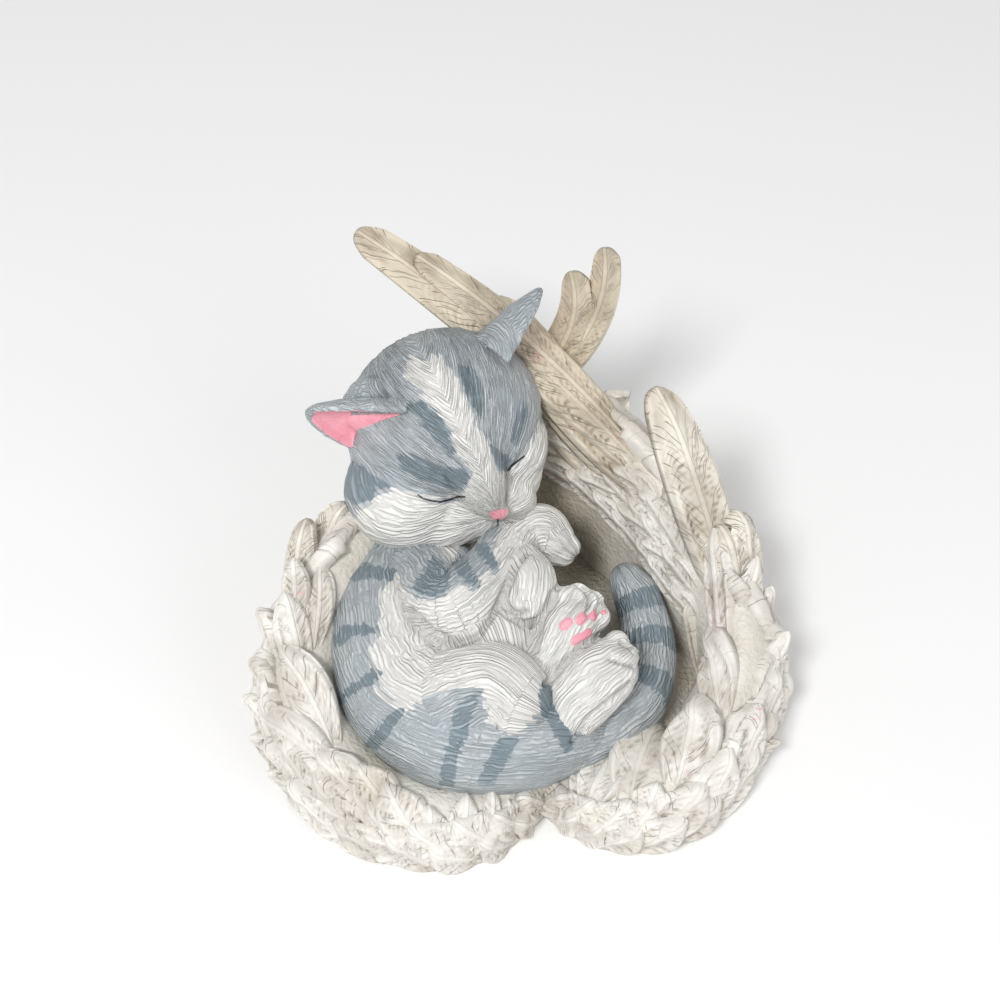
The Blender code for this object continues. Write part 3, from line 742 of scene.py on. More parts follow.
def floor_plate():
    """The nest's floor, which reaches under both walls."""
    plate = bmesh.new()
    edge = []
    for wing, places in ((left, range(1, 11)), (right, range(9, 0, -1))):
        for place in places:
            x, y, height, outer, inner = wing["outline"][place]
            inward = Vector((-x, 10.0 - y, 0.0)).normalized()
            edge.append(plate.verts.new(Vector((x, y, 0.0)) + inward * (outer + inner / 2)))
    edge.append(plate.verts.new((*NOTCH, 0.0)))
    bottom = plate.faces.new(edge)
    grown = bmesh.ops.extrude_face_region(plate, geom=[bottom], use_keep_orig=True)
    top = [v for v in grown["geom"] if isinstance(v, bmesh.types.BMVert)]
    bmesh.ops.translate(plate, vec=(0, 0, FLOOR_TOP), verts=top)
    bmesh.ops.recalc_face_normals(plate, faces=plate.faces[:])
    return plate


bowl = bmesh.new()
take_in(bowl, floor_plate())
take_in(bowl, wall_tube(left))
take_in(bowl, wall_tube(right))
wall_skin = BVHTree.FromBMesh(bowl)
nest_bowl = to_piece(bowl, "nest_bowl")

# %% [markdown]
# ## Feathers
# A carved feather is a domed blade with a raised shaft, barbs cut slanting off it and a rounded lip. It could be a
# flat shape with a bump texture, but the lip and the barbs catch the light and show at the outline, so they are
# mesh. One function shapes a grid: where the middle line runs, which way the blade faces, and how wide it is at each
# place. The cutting itself is the same for all, with its own slant and waver for each feather. Every point keeps how
# deep in a cut it lies, with the painted shade of the dish and the root added, and where it is along the barbs, and
# the paint adds the fine cuts from that.

# %% carve one feather
BARB_PITCH = 1.7
BARB_DEPTH = 0.5
SHAFT_WIDTH = 0.6
WAVER_PITCH = 4.0
DISH = 0.15
DISH_PLACE, DISH_WIDTH = 0.5, 0.25
LIP = 0.17
LIP_PLACE, LIP_WIDTH = 0.84, 0.13
EDGE_START = 0.9
ROUNDED_EDGE = 0.55
# Wash with painted shade: how much darker the dish of a feather and its root are painted.
DISH_WASH_AND_SHADE = 0.25
ROOT_WASH_AND_SHADE = 0.3


def blade_width(share, root_width, tip_width):
    """Half a feather's width at a share of its length, as a share of its widest."""
    if share < 0.6:
        return root_width + (1 - root_width) * math.sin(math.pi / 2 * share / 0.6)
    return 1.0 - (1.0 - tip_width) * ((share - 0.6) / 0.4) ** 2


def carving(across, share, half_width, length, shaft_height, cut):
    """How far a feather's surface stands out at a place, how dark its cut and its painted shade make it, and how far
    along the barbs.
    """
    reach = abs(across)
    slant, phase = cut
    shaft = shaft_height * math.exp(-((reach * half_width / SHAFT_WIDTH) ** 2)) * (1 - 0.8 * share)
    waver = noise.noise(Vector((share * length / WAVER_PITCH, across * half_width / WAVER_PITCH, phase * 9)))
    along_barbs = share * length - reach * half_width * slant + waver
    wave = along_barbs / BARB_PITCH + phase
    strength = 0.75 + 0.8 * noise.noise(Vector((round(wave) * 0.7, 5 if across > 0 else 9, phase * 7)))
    groove = max(0.0, math.cos(2 * math.pi * wave)) ** 3 * max(0.0, min(1.0, strength))
    field = min(1.0, max(0.0, (reach - 0.08) / 0.15)) * min(1.0, max(0.0, (EDGE_START - reach) / 0.25))
    field *= min(1.0, max(0.0, (EDGE_START - share) / 0.2))
    edge = (reach ** 4 + share ** 4) ** 0.25
    lip = LIP * math.exp(-(((edge - LIP_PLACE) / LIP_WIDTH) ** 2))
    hollow = math.exp(-(((reach - DISH_PLACE) / DISH_WIDTH) ** 2)) * share
    rise = shaft - BARB_DEPTH * groove * field + (lip - DISH * hollow) * half_width
    # The cuts take the wash, and the dish and the root are painted darker as shade.
    wash_and_shade = groove * field + DISH_WASH_AND_SHADE * hollow + ROOT_WASH_AND_SHADE * max(0.0, 1 - share / 0.7)
    rounded = ROUNDED_EDGE * max(0.0, (min(edge, 1.0) - EDGE_START) / 0.1) ** 2
    return rise - rounded, wash_and_shade, along_barbs


def carve_feather(
    centre, normal, half_width, thickness, columns, rows, dice,
    tip_round=0.3, root_width=0.5, tip_width=0.7, twist=0.0, shaft_height=0.35, slant=(1.1, 1.7),
):
    """One feather as a closed bmesh in millimetres, its cuts with their painted shade and its place along the barbs
    kept at each point.
    """
    vane = bmesh.new()
    bmesh.ops.create_grid(vane, x_segments=columns, y_segments=rows, size=1.0)
    wash_and_shade_layer = vane.verts.layers.float.new("groove")
    barb_layer = vane.verts.layers.float_vector.new("barb")
    length = (centre(1.0) - centre(0.0)).length
    cut = dice.uniform(*slant), dice.random()
    frames = {}
    low = {}
    for vert in vane.verts:
        across, up = math.sin(vert.co.x * math.pi / 2), math.sin((vert.co.y + 1) / 4 * math.pi)
        key = round(up, 5)
        if key not in frames:
            out = normal(up)
            run = (centre(up + 0.02) - centre(up - 0.02)).normalized()
            out = (Matrix.Rotation(twist * up, 3, run) @ out).normalized()
            frames[key] = (centre(up), out, run, run.cross(out).normalized())
        point, out, run, side = frames[key]
        rise, groove, along_barbs = carving(across, up, half_width, length, shaft_height, cut)
        rise += thickness * 0.45 * (1 - across * across)
        blunt = 1 - math.sqrt(1 - 0.98 * across * across)
        back = tip_round * length * (0.6 * across * across + 0.4 * blunt) * up ** 3
        sideways = side * across * half_width * blade_width(up, root_width, tip_width)
        vert.co = point + sideways + out * rise - run * back
        # The groove layer keeps the wash in the cuts with the painted shade of the dish and the root.
        vert[wash_and_shade_layer] = groove
        vert[barb_layer] = (across * half_width, along_barbs, cut[1] * 50)
        low[vert.index] = out * thickness
    bmesh.ops.recalc_face_normals(vane, faces=vane.faces[:])
    if sum((f.normal for f in vane.faces), Vector()).dot(normal(0.5)) < 0:
        bmesh.ops.reverse_faces(vane, faces=vane.faces[:])
    rim = [e for e in vane.edges if e.is_boundary]
    under = {tuple(v.co): low[v.index] for e in rim for v in e.verts}
    skirt = bmesh.ops.extrude_edge_only(vane, edges=rim)
    for vert in skirt["geom"]:
        if isinstance(vert, bmesh.types.BMVert):
            vert.co -= under[tuple(vert.co)]
    bmesh.ops.holes_fill(vane, edges=[e for e in vane.edges if e.is_boundary], sides=0)
    bmesh.ops.recalc_face_normals(vane, faces=vane.faces[:])
    return vane


# %% rows of short feathers on the walls
FEATHER_ROWS = [
    {"root": (0.03, 0.03), "tip": (0.20, 0.14), "first": 0.015, "half_width": (5.2, 7.5)},
    {"root": (0.09, 0.08), "tip": (0.34, 0.26), "first": -0.01, "half_width": (5.4, 7.6)},
    {"root": (0.20, 0.18), "tip": (0.46, 0.38), "first": 0.015, "half_width": (5.6, 7.4)},
    {"root": (0.30, 0.28), "tip": (0.56, 0.48), "first": -0.01, "half_width": (5.8, 6.6)},
]
HAND_PLACED = {"left": 0.60, "right": 0.52}
ROW_END = 0.92
ROW_SPACING = (0.050, 0.078)
ROW_REACH = (0.055, 0.17)
NARROWEST = 0.4
WIDE_REACH = 0.12
TIP_LIFT = (2.0, 2.4)
RIM_SHARE = 0.36
FEATHER_THICKNESS = 2.2
SUNK_ROOT = -1.2
INNER_ROWS = [
    {"root": 0.84, "tip": 0.80, "first": 0.62, "last": 0.93},
    {"root": 0.76, "tip": 0.72, "first": 0.645, "last": 0.93},
    {"root": 0.68, "tip": 0.64, "first": 0.67, "last": 0.93},
]
INNER_SPACING = 0.042
INNER_REACH = 0.08
INNER_LIFT = 1.0
INNER_HALF_WIDTH = 3.4
INNER_THICKNESS = 1.4
SHORT_COLUMNS = 22
SHORT_ROWS = 32


def on_wall(wing, start, reach, root, tip, lift):
    """The middle line and the facing of a feather that hugs a wall and lifts away from it towards its tip."""

    def centre(share):
        at, around = start + reach * share, root + (tip - root) * share
        above = SUNK_ROOT * (1 - share) ** 3 + lift * share
        return wall_point(wing, at, around) + wall_normal(wing, at, around) * above

    def normal(share):
        return wall_normal(wing, start + reach * share, root + (tip - root) * share)

    return centre, normal


def short_feathers(wing, inner_rows):
    """All the short feathers of one wing as a piece."""
    dice = random.Random(7 + wing["hand"])
    carving_dice = random.Random(31 + wing["hand"])
    bm = bmesh.new()
    for row in FEATHER_ROWS:
        start = row["first"]
        while start < ROW_END:
            share = max(0.0, start)
            size = dice.uniform(0.88, 1.12)
            reach = min(between(ROW_REACH, share) * size, 1.0 - share)
            tip = between(row["tip"], share) + dice.uniform(-0.02, 0.02)
            half_width = between(row["half_width"], share) * dice.uniform(0.92, 1.08)
            half_width *= min(1, NARROWEST + reach / WIDE_REACH)
            lift = between(TIP_LIFT, share) * dice.uniform(0.7, 1.3)
            centre, normal = on_wall(wing, start, reach, between(row["root"], share), tip, lift)
            if tip < RIM_SHARE or start > HAND_PLACED[wing["name"]]:
                take_in(bm, carve_feather(
                    centre, normal, half_width, FEATHER_THICKNESS, SHORT_COLUMNS, SHORT_ROWS, carving_dice
                ))
            start += between(ROW_SPACING, share)
    for row in inner_rows:
        start = row["first"]
        while start < row["last"]:
            reach = INNER_REACH * dice.uniform(0.85, 1.15)
            centre, normal = on_wall(wing, start, reach, row["root"], row["tip"], INNER_LIFT)
            take_in(bm, carve_feather(
                centre, normal, INNER_HALF_WIDTH, INNER_THICKNESS, SHORT_COLUMNS, SHORT_ROWS, carving_dice
            ))
            start += INNER_SPACING
    return bm


# %% the feathers that show in the picture, each as its tip, its root and its half width
LEFT_PLACED = [
    ((465, 799), (459, 852), 3.6), ((427, 808), (434, 852), 4.6), ((384, 787), (422, 842), 5.3),
    ((355, 768), (399, 818), 4.9), ((321, 753), (372, 810), 4.9), ((273, 712), (331, 769), 4.5),
    ((286, 649), (333, 747), 4.9), ((285, 596), (304, 675), 4.0), ((267, 608), (273, 660), 2.8),
    ((322, 569), (314, 650), 3.2), ((331, 795), (378, 842), 4.5), ((368, 827), (418, 853), 3.6),
    ((281, 746), (331, 792), 3.6), ((261, 732), (291, 769), 3.4), ((250, 693), (273, 735), 2.6),
    ((258, 656), (272, 708), 2.8), ((273, 768), (320, 797), 3.0), ((294, 778), (336, 813), 3.0),
    ((294, 795), (337, 821), 2.8), ((321, 826), (368, 838), 2.8), ((344, 841), (385, 853), 2.6),
    ((379, 851), (416, 855), 2.6), ((416, 853), (451, 841), 3.0), ((490, 793), (490, 842), 2.2),
    ((505, 801), (505, 844), 2.0), ((482, 836), (464, 865), 1.8), ((295, 560), (296, 620), 3.0),
]
RIGHT_PLACED = [
    ((548, 792), (550, 822), 1.9), ((562, 794), (573, 829), 2.1), ((616, 762), (587, 805), 5.2),
    ((657, 730), (631, 802), 6.6), ((704, 702), (676, 788), 6.1), ((752, 703), (730, 763), 4.9),
    ((657, 785), (641, 816), 4.3), ((726, 777), (679, 812), 3.9), ((632, 801), (606, 833), 5.2),
    ((697, 812), (652, 833), 3.2), ((585, 807), (603, 835), 2.9), ((736, 746), (703, 763), 2.7),
    ((771, 738), (736, 759), 3.0), ((746, 769), (725, 788), 2.6), ((582, 771), (579, 800), 2.5),
    ((719, 529), (721, 656), 3.7), ((740, 512), (756, 604), 3.3), ((716, 630), (720, 724), 4.6),
    ((690, 603), (697, 676), 1.6), ((766, 588), (762, 655), 2.0), ((782, 631), (756, 704), 2.6),
    ((769, 650), (756, 712), 2.6), ((784, 680), (768, 730), 2.4), ((752, 560), (744, 640), 3.0),
]
INNER_PLACED = [
    ((600, 452), (630, 482), 2.2), ((617, 465), (653, 493), 2.5), ((579, 469), (638, 502), 2.5),
    ((642, 489), (669, 521), 2.2), ((621, 503), (679, 549), 2.6), ((645, 537), (682, 567), 2.0),
]
TIP_LIFT_SHARE = 0.42
PLACED_ROUND = 0.75
PLACED_TIP_WIDTH = 0.72
PLACED_TWIST = 0.25
EDGE_LEVEL = 12.0
LOW_LEVEL = 1.6


def sight(place):
    """The direction of the line of sight through a place in the picture."""
    across, down = place[0] - PICTURE_WIDTH / 2, PICTURE_WIDTH / 2 - place[1]
    return (picture_right * across + picture_up * down - toward_lens * LENS_IN_PIXELS).normalized()


def on_skin(skin, place, near):
    """Where a line of sight meets a skin, and the way the skin faces there; past its edge, as far off as near is."""
    ray = sight(place)
    point, facing, _, _ = skin.ray_cast(lens_place, ray)
    if point is None and near is None:
        over_edge = lens_place + ray * ((EDGE_LEVEL - lens_place.z) / ray.z)
        point, facing, _, _ = skin.find_nearest(over_edge)
    elif point is None:
        point = lens_place + ray * ((near[0] - lens_place).dot(toward_lens) / ray.dot(toward_lens))
        facing = near[1]
    return point, facing if facing.dot(toward_lens) > 0 else -facing


def placed_feathers(bm, skin, placed, dice):
    """Feathers laid on a skin where the picture shows them."""
    for tip_place, root_place, half_width in placed:
        root = on_skin(skin, root_place, None)
        half_way = [(a + b) / 2 for a, b in zip(root_place, tip_place)]
        middle = on_skin(skin, half_way, root)
        tip = on_skin(skin, tip_place, middle)
        high = TIP_LIFT_SHARE * half_width * dice.uniform(0.8, 1.2)
        start = root[0] + root[1] * SUNK_ROOT
        end = tip[0] + tip[1] * high
        bend = (middle[0] + middle[1] * high * 0.6) * 2 - (start + end) / 2
        faces = root[1].normalized(), tip[1].normalized()
        length = (end - start).length
        take_in(bm, carve_feather(
            lambda share: start.lerp(bend, share).lerp(bend.lerp(end, share), share),
            lambda share: faces[0].lerp(faces[1], share).normalized(),
            half_width, FEATHER_THICKNESS, SHORT_COLUMNS, SHORT_ROWS, dice,
            tip_round=PLACED_ROUND * half_width / length, tip_width=PLACED_TIP_WIDTH,
            twist=dice.uniform(-PLACED_TWIST, PLACED_TWIST),
        ))


left_bm, right_bm = short_feathers(left, []), short_feathers(right, INNER_ROWS)
placed_feathers(left_bm, wall_skin, LEFT_PLACED, random.Random(21))
placed_feathers(right_bm, wall_skin, RIGHT_PLACED, random.Random(22))
placed_feathers(right_bm, wall_skin, INNER_PLACED, random.Random(23))
for bm in (left_bm, right_bm):
    for vert in bm.verts:
        if vert.co.z < LOW_LEVEL:
            vert.co.z = LOW_LEVEL * math.exp(vert.co.z / LOW_LEVEL - 1)
left_feathers = to_piece(left_bm, "left_wing_feathers")
right_feathers = to_piece(right_bm, "right_wing_feathers")

# %% the long feathers as root, middle, tip, half width and the way their face looks
LONG_FEATHERS = [
    ((36.5, 27, 30), (13, 48, 53.5), (-34.5, 66.5, 79), 5.4, (0.35, -0.75, 0.55)),
    ((36.5, 28, 31), (14, 50.5, 54), (-21.5, 60, 77.5), 4, (0.35, -0.75, 0.55)),
    ((36, 26, 27), (11, 44.5, 48.5), (-4, 61, 65), 5.8, (0.4, -0.78, 0.5)),
    ((35.5, 27, 24), (13, 45, 42), (-3, 61, 58), 5.2, (0.45, -0.75, 0.45)),
    ((35, 28, 21), (14, 45.5, 35), (-3, 59, 50), 5, (0.5, -0.78, 0.35)),
    ((34.5, 29, 17), (15, 46, 28), (-2, 57, 42), 4.8, (0.5, -0.8, 0.25)),
    ((-34, 34, 34), (24, 62, 41), (18.4, 59.5, 80), 4.2, (-0.1, -0.85, 0.45)),
    ((-32, 36, 32), (20, 62, 42), (11.3, 57, 75.5), 4.2, (-0.1, -0.85, 0.45)),
    ((47, 4, 14), (42.5, 20, 40), (29, 35.5, 62), 6, (0.25, -0.75, 0.6)),
    ((49, -1, 11), (48.5, 10, 31), (43, 17.5, 38.5), 4.6, (0.3, -0.75, 0.6)),
    ((50, 4, 11), (51, 14, 34), (46.6, 20.5, 40), 4.4, (0.6, -0.6, 0.5)),
    ((-48, 1, 11), (-48.5, 11, 32), (-45, 18, 40), 3.2, (-0.2, -0.75, 0.6)),
    ((-43.5, 10, 14), (-42.5, 21, 34), (-37, 24, 38), 4.4, (-0.2, -0.75, 0.6)),
]
LONG_THICKNESS = 2.6
LONG_COLUMNS = 22
LONG_ROW_LENGTH = 0.55
LONG_ROOT_WIDTH = 0.15
LONG_SHAFT = 0.75
LONG_SLANT = (1.9, 2.6)


def long_feather(root, middle, tip, half_width, facing, dice):
    """A long feather on a smooth bend through three points."""
    route = [Vector(root), Vector(middle), Vector(tip)]

    def centre(share):
        return route[0].lerp(route[1], share).lerp(route[1].lerp(route[2], share), share)

    length = (route[2] - route[0]).length
    face = Vector(facing).normalized()
    return carve_feather(
        centre, lambda share: face, half_width, LONG_THICKNESS, LONG_COLUMNS, int(length / LONG_ROW_LENGTH), dice,
        tip_round=half_width / length, root_width=LONG_ROOT_WIDTH, shaft_height=LONG_SHAFT,
        slant=LONG_SLANT,
    )


long_dice = random.Random(12)
bm = bmesh.new()
for feather in LONG_FEATHERS:
    take_in(bm, long_feather(*feather, long_dice))
long_feathers = to_piece(bm, "long_feathers")

# %% pink specks, as circles on the picture plane
BLUSHES = [
    ((712, 605), 12), ((718, 625), 10), ((655, 765), 14), ((757, 715), 11), ((535, 358), 13), ((572, 430), 9),
    ((617, 438), 8), ((547, 487), 12), ((565, 480), 9), ((690, 770), 8), ((300, 590), 8), ((560, 560), 12),
]


def blush(piece):
    """Keep on each point how near the middle of a circle it is in the picture."""
    points, normals = positions(piece)
    places = in_picture(points)
    near = largest(1 - to_stroke(places, [middle]) / radius for middle, radius in BLUSHES)
    set_values(piece, "blush", np.where(normals @ np.array(toward_lens) > 0, np.clip(near, 0, 1), 0))


for piece in (nest_bowl, left_feathers, right_feathers, long_feathers):
    blush(piece)

# %% [markdown]
# ## Paints
# Both castings carry a matt base coat with a darker wash run into the cuts and a pale coat dragged over the ridges,
# under a satin seal. Shade is painted in with the wash: the fur darker in its hollows and creases, each feather
# darker in its dish and at its root. Every finish here is built the same way. A node group makes the masks, and the
# material mixes its own colours by them, so that the colours stay where they can be read and changed.

# %% small helpers for nodes


def linear(red, green, blue):
    """A colour given as the screen shows it, 0 to 255, turned into the linear values that a shader takes."""
    values = [c / 255 for c in (red, green, blue)]
    return (*[c / 12.92 if c <= 0.04045 else ((c + 0.055) / 1.055) ** 2.4 for c in values], 1.0)


def put(tree, kind, inputs=None, **settings):
    """A new node with its settings, each input either linked from a socket or set to a value."""
    node = tree.nodes.new("ShaderNode" + kind)
    for name, value in settings.items():
        setattr(node, name, value)
    for key, value in (inputs or {}).items():
        if isinstance(value, bpy.types.NodeSocket):
            tree.links.new(value, node.inputs[key])
        else:
            node.inputs[key].default_value = value
    return node


def new_paint(name):
    """A new material, its node tree and its shader."""
    paint = bpy.data.materials.new(name)
    paint.use_nodes = True
    return paint, paint.node_tree, paint.node_tree.nodes["Principled BSDF"]


def maths(tree, operation, first, second=0.0, third=0.0):
    """One sum on one or two sockets or numbers."""
    return put(tree, "Math", {0: first, 1: second, 2: third}, operation=operation).outputs[0]


def step_up(tree, value, low, high, bottom=0.0, top=1.0):
    """A smooth rise from bottom to top as the value goes from low to high."""
    limits = {"Value": value, 1: low, 2: high, 3: bottom, 4: top}
    return put(tree, "MapRange", limits, interpolation_type="SMOOTHSTEP").outputs[0]


def mixed(tree, share, first, second):
    """Two colours mixed by a mask."""
    return put(tree, "Mix", {0: share, 6: first, 7: second}, data_type="RGBA").outputs[2]


def attribute(tree, name, output="Fac"):
    """What a piece keeps on its points under a name."""
    return put(tree, "Attribute", attribute_name=name).outputs[output]


def new_group(name, inputs, outputs):
    """An empty node group with named sockets; gives the group, its input node and its output node."""
    tree = bpy.data.node_groups.new(name, "ShaderNodeTree")
    for in_out, sockets in (("INPUT", inputs), ("OUTPUT", outputs)):
        for socket_name, kind in sockets.items():
            tree.interface.new_socket(name=socket_name, in_out=in_out, socket_type="NodeSocket" + kind)
    return tree, tree.nodes.new("NodeGroupInput").outputs, tree.nodes.new("NodeGroupOutput")


def place_group(tree, group, inputs):
    """A node group placed in a material with its own values."""
    return put(tree, "Group", inputs, node_tree=group).outputs


def link_all(tree, node, values):
    """Link a value to each of a node's inputs that is named."""
    for name, value in values.items():
        tree.links.new(value, node.inputs[name])


# %% the strokes that a loop tool leaves in the fur
STROKE_WIDTH = 0.8
STROKE_LENGTH = 11.0
WAVER = 2.6

strokes, given, made = new_group(
    "fur strokes", {"Fur": "Vector", "Width": "Float", "Length": "Float"},
    {"Groove": "Float", "Ridge": "Float", "Height": "Float", "Chance": "Float"},
)
waver = put(strokes, "TexNoise", {"Vector": given["Fur"], "Scale": 0.16, "Detail": 2.0}).outputs["Color"]
waver = put(strokes, "VectorMath", {0: waver, 1: (0.5, 0.5, 0.5)}, operation="SUBTRACT").outputs[0]
waver = put(strokes, "VectorMath", {0: waver, 1: (WAVER, WAVER, 0.0)}, operation="MULTIPLY").outputs[0]
bent = put(strokes, "VectorMath", {0: given["Fur"], 1: waver}, operation="ADD").outputs[0]
size = put(strokes, "CombineXYZ", {0: given["Width"], 1: given["Width"], 2: given["Length"]}).outputs[0]
cells = put(strokes, "VectorMath", {0: bent, 1: size}, operation="DIVIDE").outputs[0]
edge = put(strokes, "TexVoronoi", {"Vector": cells, "Scale": 1.0}, feature="DISTANCE_TO_EDGE").outputs["Distance"]
chance = put(strokes, "TexVoronoi", {"Vector": cells, "Scale": 1.0}, feature="F1").outputs["Color"]
chance = put(strokes, "SeparateColor", {0: chance}).outputs[0]
fine = put(strokes, "TexNoise", {"Vector": cells, "Scale": 2.6, "Detail": 2.0}).outputs["Fac"]
height = maths(strokes, "ADD", step_up(strokes, edge, 0.0, 0.32), maths(strokes, "MULTIPLY", fine, 0.5))
link_all(strokes, made, {
    "Groove": step_up(strokes, edge, 0.0, 0.13, 1.0, 0.0),
    "Ridge": step_up(strokes, maths(strokes, "MULTIPLY_ADD", fine, 0.3, edge), 0.3, 0.55),
    "Height": height,
    "Chance": chance,
})

# %% painted fur
GREY_COAT = linear(174, 182, 187)
GREY_COAT_LIGHT = linear(188, 194, 197)
SLATE = linear(126, 142, 150)
WHITE_COAT = linear(234, 233, 229)
# The wash colours also paint the shade in the fur's hollows and creases.
GREY_WASH_AND_SHADE = linear(126, 135, 141)
WHITE_WASH_AND_SHADE = linear(178, 177, 174)
HIGHLIGHT = linear(238, 240, 240)
PINK = linear(243, 176, 188)
PINK_SHADE = linear(232, 150, 166)
INK = linear(42, 42, 46)
SLATE_WASH_AND_SHADE = linear(96, 110, 118)
JAGGED = 1.9
FUR_RELIEF = 0.3 * MM

fur_paint, tree, shader = new_paint("painted fur")
fur_place_socket = attribute(tree, "fur", "Vector")
fur_marks = place_group(tree, strokes, {"Fur": fur_place_socket, "Width": STROKE_WIDTH, "Length": STROKE_LENGTH})
on_object = put(tree, "TexCoord").outputs["Object"]
patches = put(tree, "TexNoise", {"Vector": on_object, "Scale": 130.0, "Detail": 3.0}).outputs["Fac"]
shift = maths(tree, "MULTIPLY", maths(tree, "SUBTRACT", fur_marks["Chance"], 0.5), JAGGED)


def marking(name, jagged=1.0, softness=0.12):
    """The mask of a marking, its edge made jagged along the strokes."""
    value = maths(tree, "ADD", attribute(tree, name), maths(tree, "MULTIPLY", shift, jagged))
    return step_up(tree, value, -softness, softness)


white, dark, pink = marking("white"), marking("dark", 0.55, 0.2), marking("pink", 0.12)
coat = mixed(tree, step_up(tree, patches, 0.35, 0.65), GREY_COAT, GREY_COAT_LIGHT)
coat = mixed(tree, maths(tree, "MULTIPLY", dark, 0.92), coat, SLATE)
wash_and_shade = mixed(tree, dark, GREY_WASH_AND_SHADE, SLATE_WASH_AND_SHADE)
only_white = maths(tree, "MULTIPLY", white, maths(tree, "SUBTRACT", 1.0, dark))
coat = mixed(tree, only_white, coat, WHITE_COAT)
wash_and_shade = mixed(tree, only_white, wash_and_shade, WHITE_WASH_AND_SHADE)
# Painted shade with the wash: the fur is painted darker in its hollows and along the clefts.
deep = step_up(tree, attribute(tree, "hollow"), 0.05, 0.5)
groove = maths(tree, "MAXIMUM", maths(tree, "MULTIPLY", fur_marks["Groove"], 0.5), maths(tree, "MULTIPLY", deep, 0.7))
coat = mixed(tree, groove, coat, wash_and_shade)
coat = mixed(tree, maths(tree, "MULTIPLY", fur_marks["Ridge"], 0.16), coat, HIGHLIGHT)
pink_paint = mixed(tree, step_up(tree, patches, 0.3, 0.7), PINK, PINK_SHADE)
coat = mixed(tree, pink, coat, pink_paint)
line = step_up(tree, attribute(tree, "line"), 0.12, 0.3, 1.0, 0.0)
coat = mixed(tree, line, coat, INK)
rough = put(tree, "TexNoise", {"Vector": on_object, "Scale": 400.0}).outputs["Fac"]
flat = maths(tree, "MULTIPLY", fur_marks["Height"], maths(tree, "SUBTRACT", 1.0, maths(tree, "MULTIPLY", pink, 0.8)))
link_all(tree, shader, {
    "Base Color": coat,
    "Roughness": step_up(tree, rough, 0.3, 0.7, 0.36, 0.52),
    "Normal": put(tree, "Bump", {"Height": flat, "Distance": FUR_RELIEF, "Strength": 1.0}).outputs[0],
})

# %% the fine cuts that follow the barbs
cuts, given, made = new_group(
    "barb cuts", {"Barb": "Vector", "Pitch": "Float"}, {"Groove": "Float", "Height": "Float"},
)
barb = put(cuts, "SeparateXYZ", {0: given["Barb"]}).outputs
drift = put(cuts, "TexNoise", {"Vector": given["Barb"], "Scale": 0.3, "Detail": 2.0}).outputs["Fac"]
wave = maths(cuts, "MULTIPLY_ADD", drift, 3.4, maths(cuts, "DIVIDE", barb["Y"], given["Pitch"]))
cut_number = {0: maths(cuts, "ROUND", wave), 1: maths(cuts, "SIGN", barb["X"]), 2: barb["Z"]}
cut_number = put(cuts, "CombineXYZ", cut_number).outputs[0]
chance = put(cuts, "TexWhiteNoise", {"Vector": cut_number}).outputs["Value"]
away = maths(cuts, "ABSOLUTE", barb["X"])
groove = step_up(cuts, maths(cuts, "PINGPONG", wave, 0.5), 0.0, 0.26, 1.0, 0.0)
groove = maths(cuts, "MULTIPLY", groove, step_up(cuts, chance, 0.3, 0.95))
broken = put(cuts, "TexNoise", {"Vector": given["Barb"], "Scale": 0.55, "Detail": 1.0}).outputs["Fac"]
groove = maths(cuts, "MULTIPLY", groove, step_up(cuts, broken, 0.38, 0.56))
groove = maths(cuts, "MULTIPLY", groove, step_up(cuts, away, 0.3, 0.7))
beside_shaft = step_up(cuts, maths(cuts, "ABSOLUTE", maths(cuts, "SUBTRACT", away, 0.7)), 0.0, 0.3, 0.4, 0.0)
groove = maths(cuts, "MAXIMUM", groove, beside_shaft)
link_all(cuts, made, {"Groove": groove, "Height": maths(cuts, "SUBTRACT", 1.0, groove)})

# %% the wash with painted shade, the blotches and the specks on the nest
aged_and_shaded, given, made = new_group(
    "aged paint", {"Place": "Vector", "Groove": "Float"},
    {"Wash And Shade": "Float", "Blotch": "Float", "Speck": "Float", "Grain": "Float"},
)
broad, other, small = (
    put(
        aged_and_shaded, "TexNoise", {"Vector": given["Place"], "Scale": scale, "Detail": detail, "Distortion": swirled},
    ).outputs["Fac"]
    for scale, detail, swirled in ((90.0, 4.0, 0.0), (55.0, 3.0, 0.6), (900.0, 2.0, 0.0))
)
dots = put(aged_and_shaded, "TexVoronoi", {"Vector": given["Place"], "Scale": 1500.0}).outputs["Distance"]
streak = maths(aged_and_shaded, "MULTIPLY", step_up(aged_and_shaded, broad, 0.42, 0.62), 0.35)
# The Groove input brings the painted shade at the feathers' roots and dishes with the wash in the cuts.
washed_and_shaded = maths(aged_and_shaded, "ADD", maths(aged_and_shaded, "MULTIPLY", given["Groove"], 0.75), streak)
link_all(aged_and_shaded, made, {
    "Wash And Shade": put(aged_and_shaded, "Clamp", {0: washed_and_shaded}).outputs[0],
    "Blotch": step_up(aged_and_shaded, other, 0.56, 0.72),
    "Speck": maths(aged_and_shaded, "MULTIPLY", step_up(aged_and_shaded, dots, 0.2, 0.4, 1.0, 0.0), step_up(aged_and_shaded, small, 0.42, 0.55)),
    "Grain": small,
})
SPECK = linear(238, 160, 174)
RESIN_RELIEF = 0.25 * MM


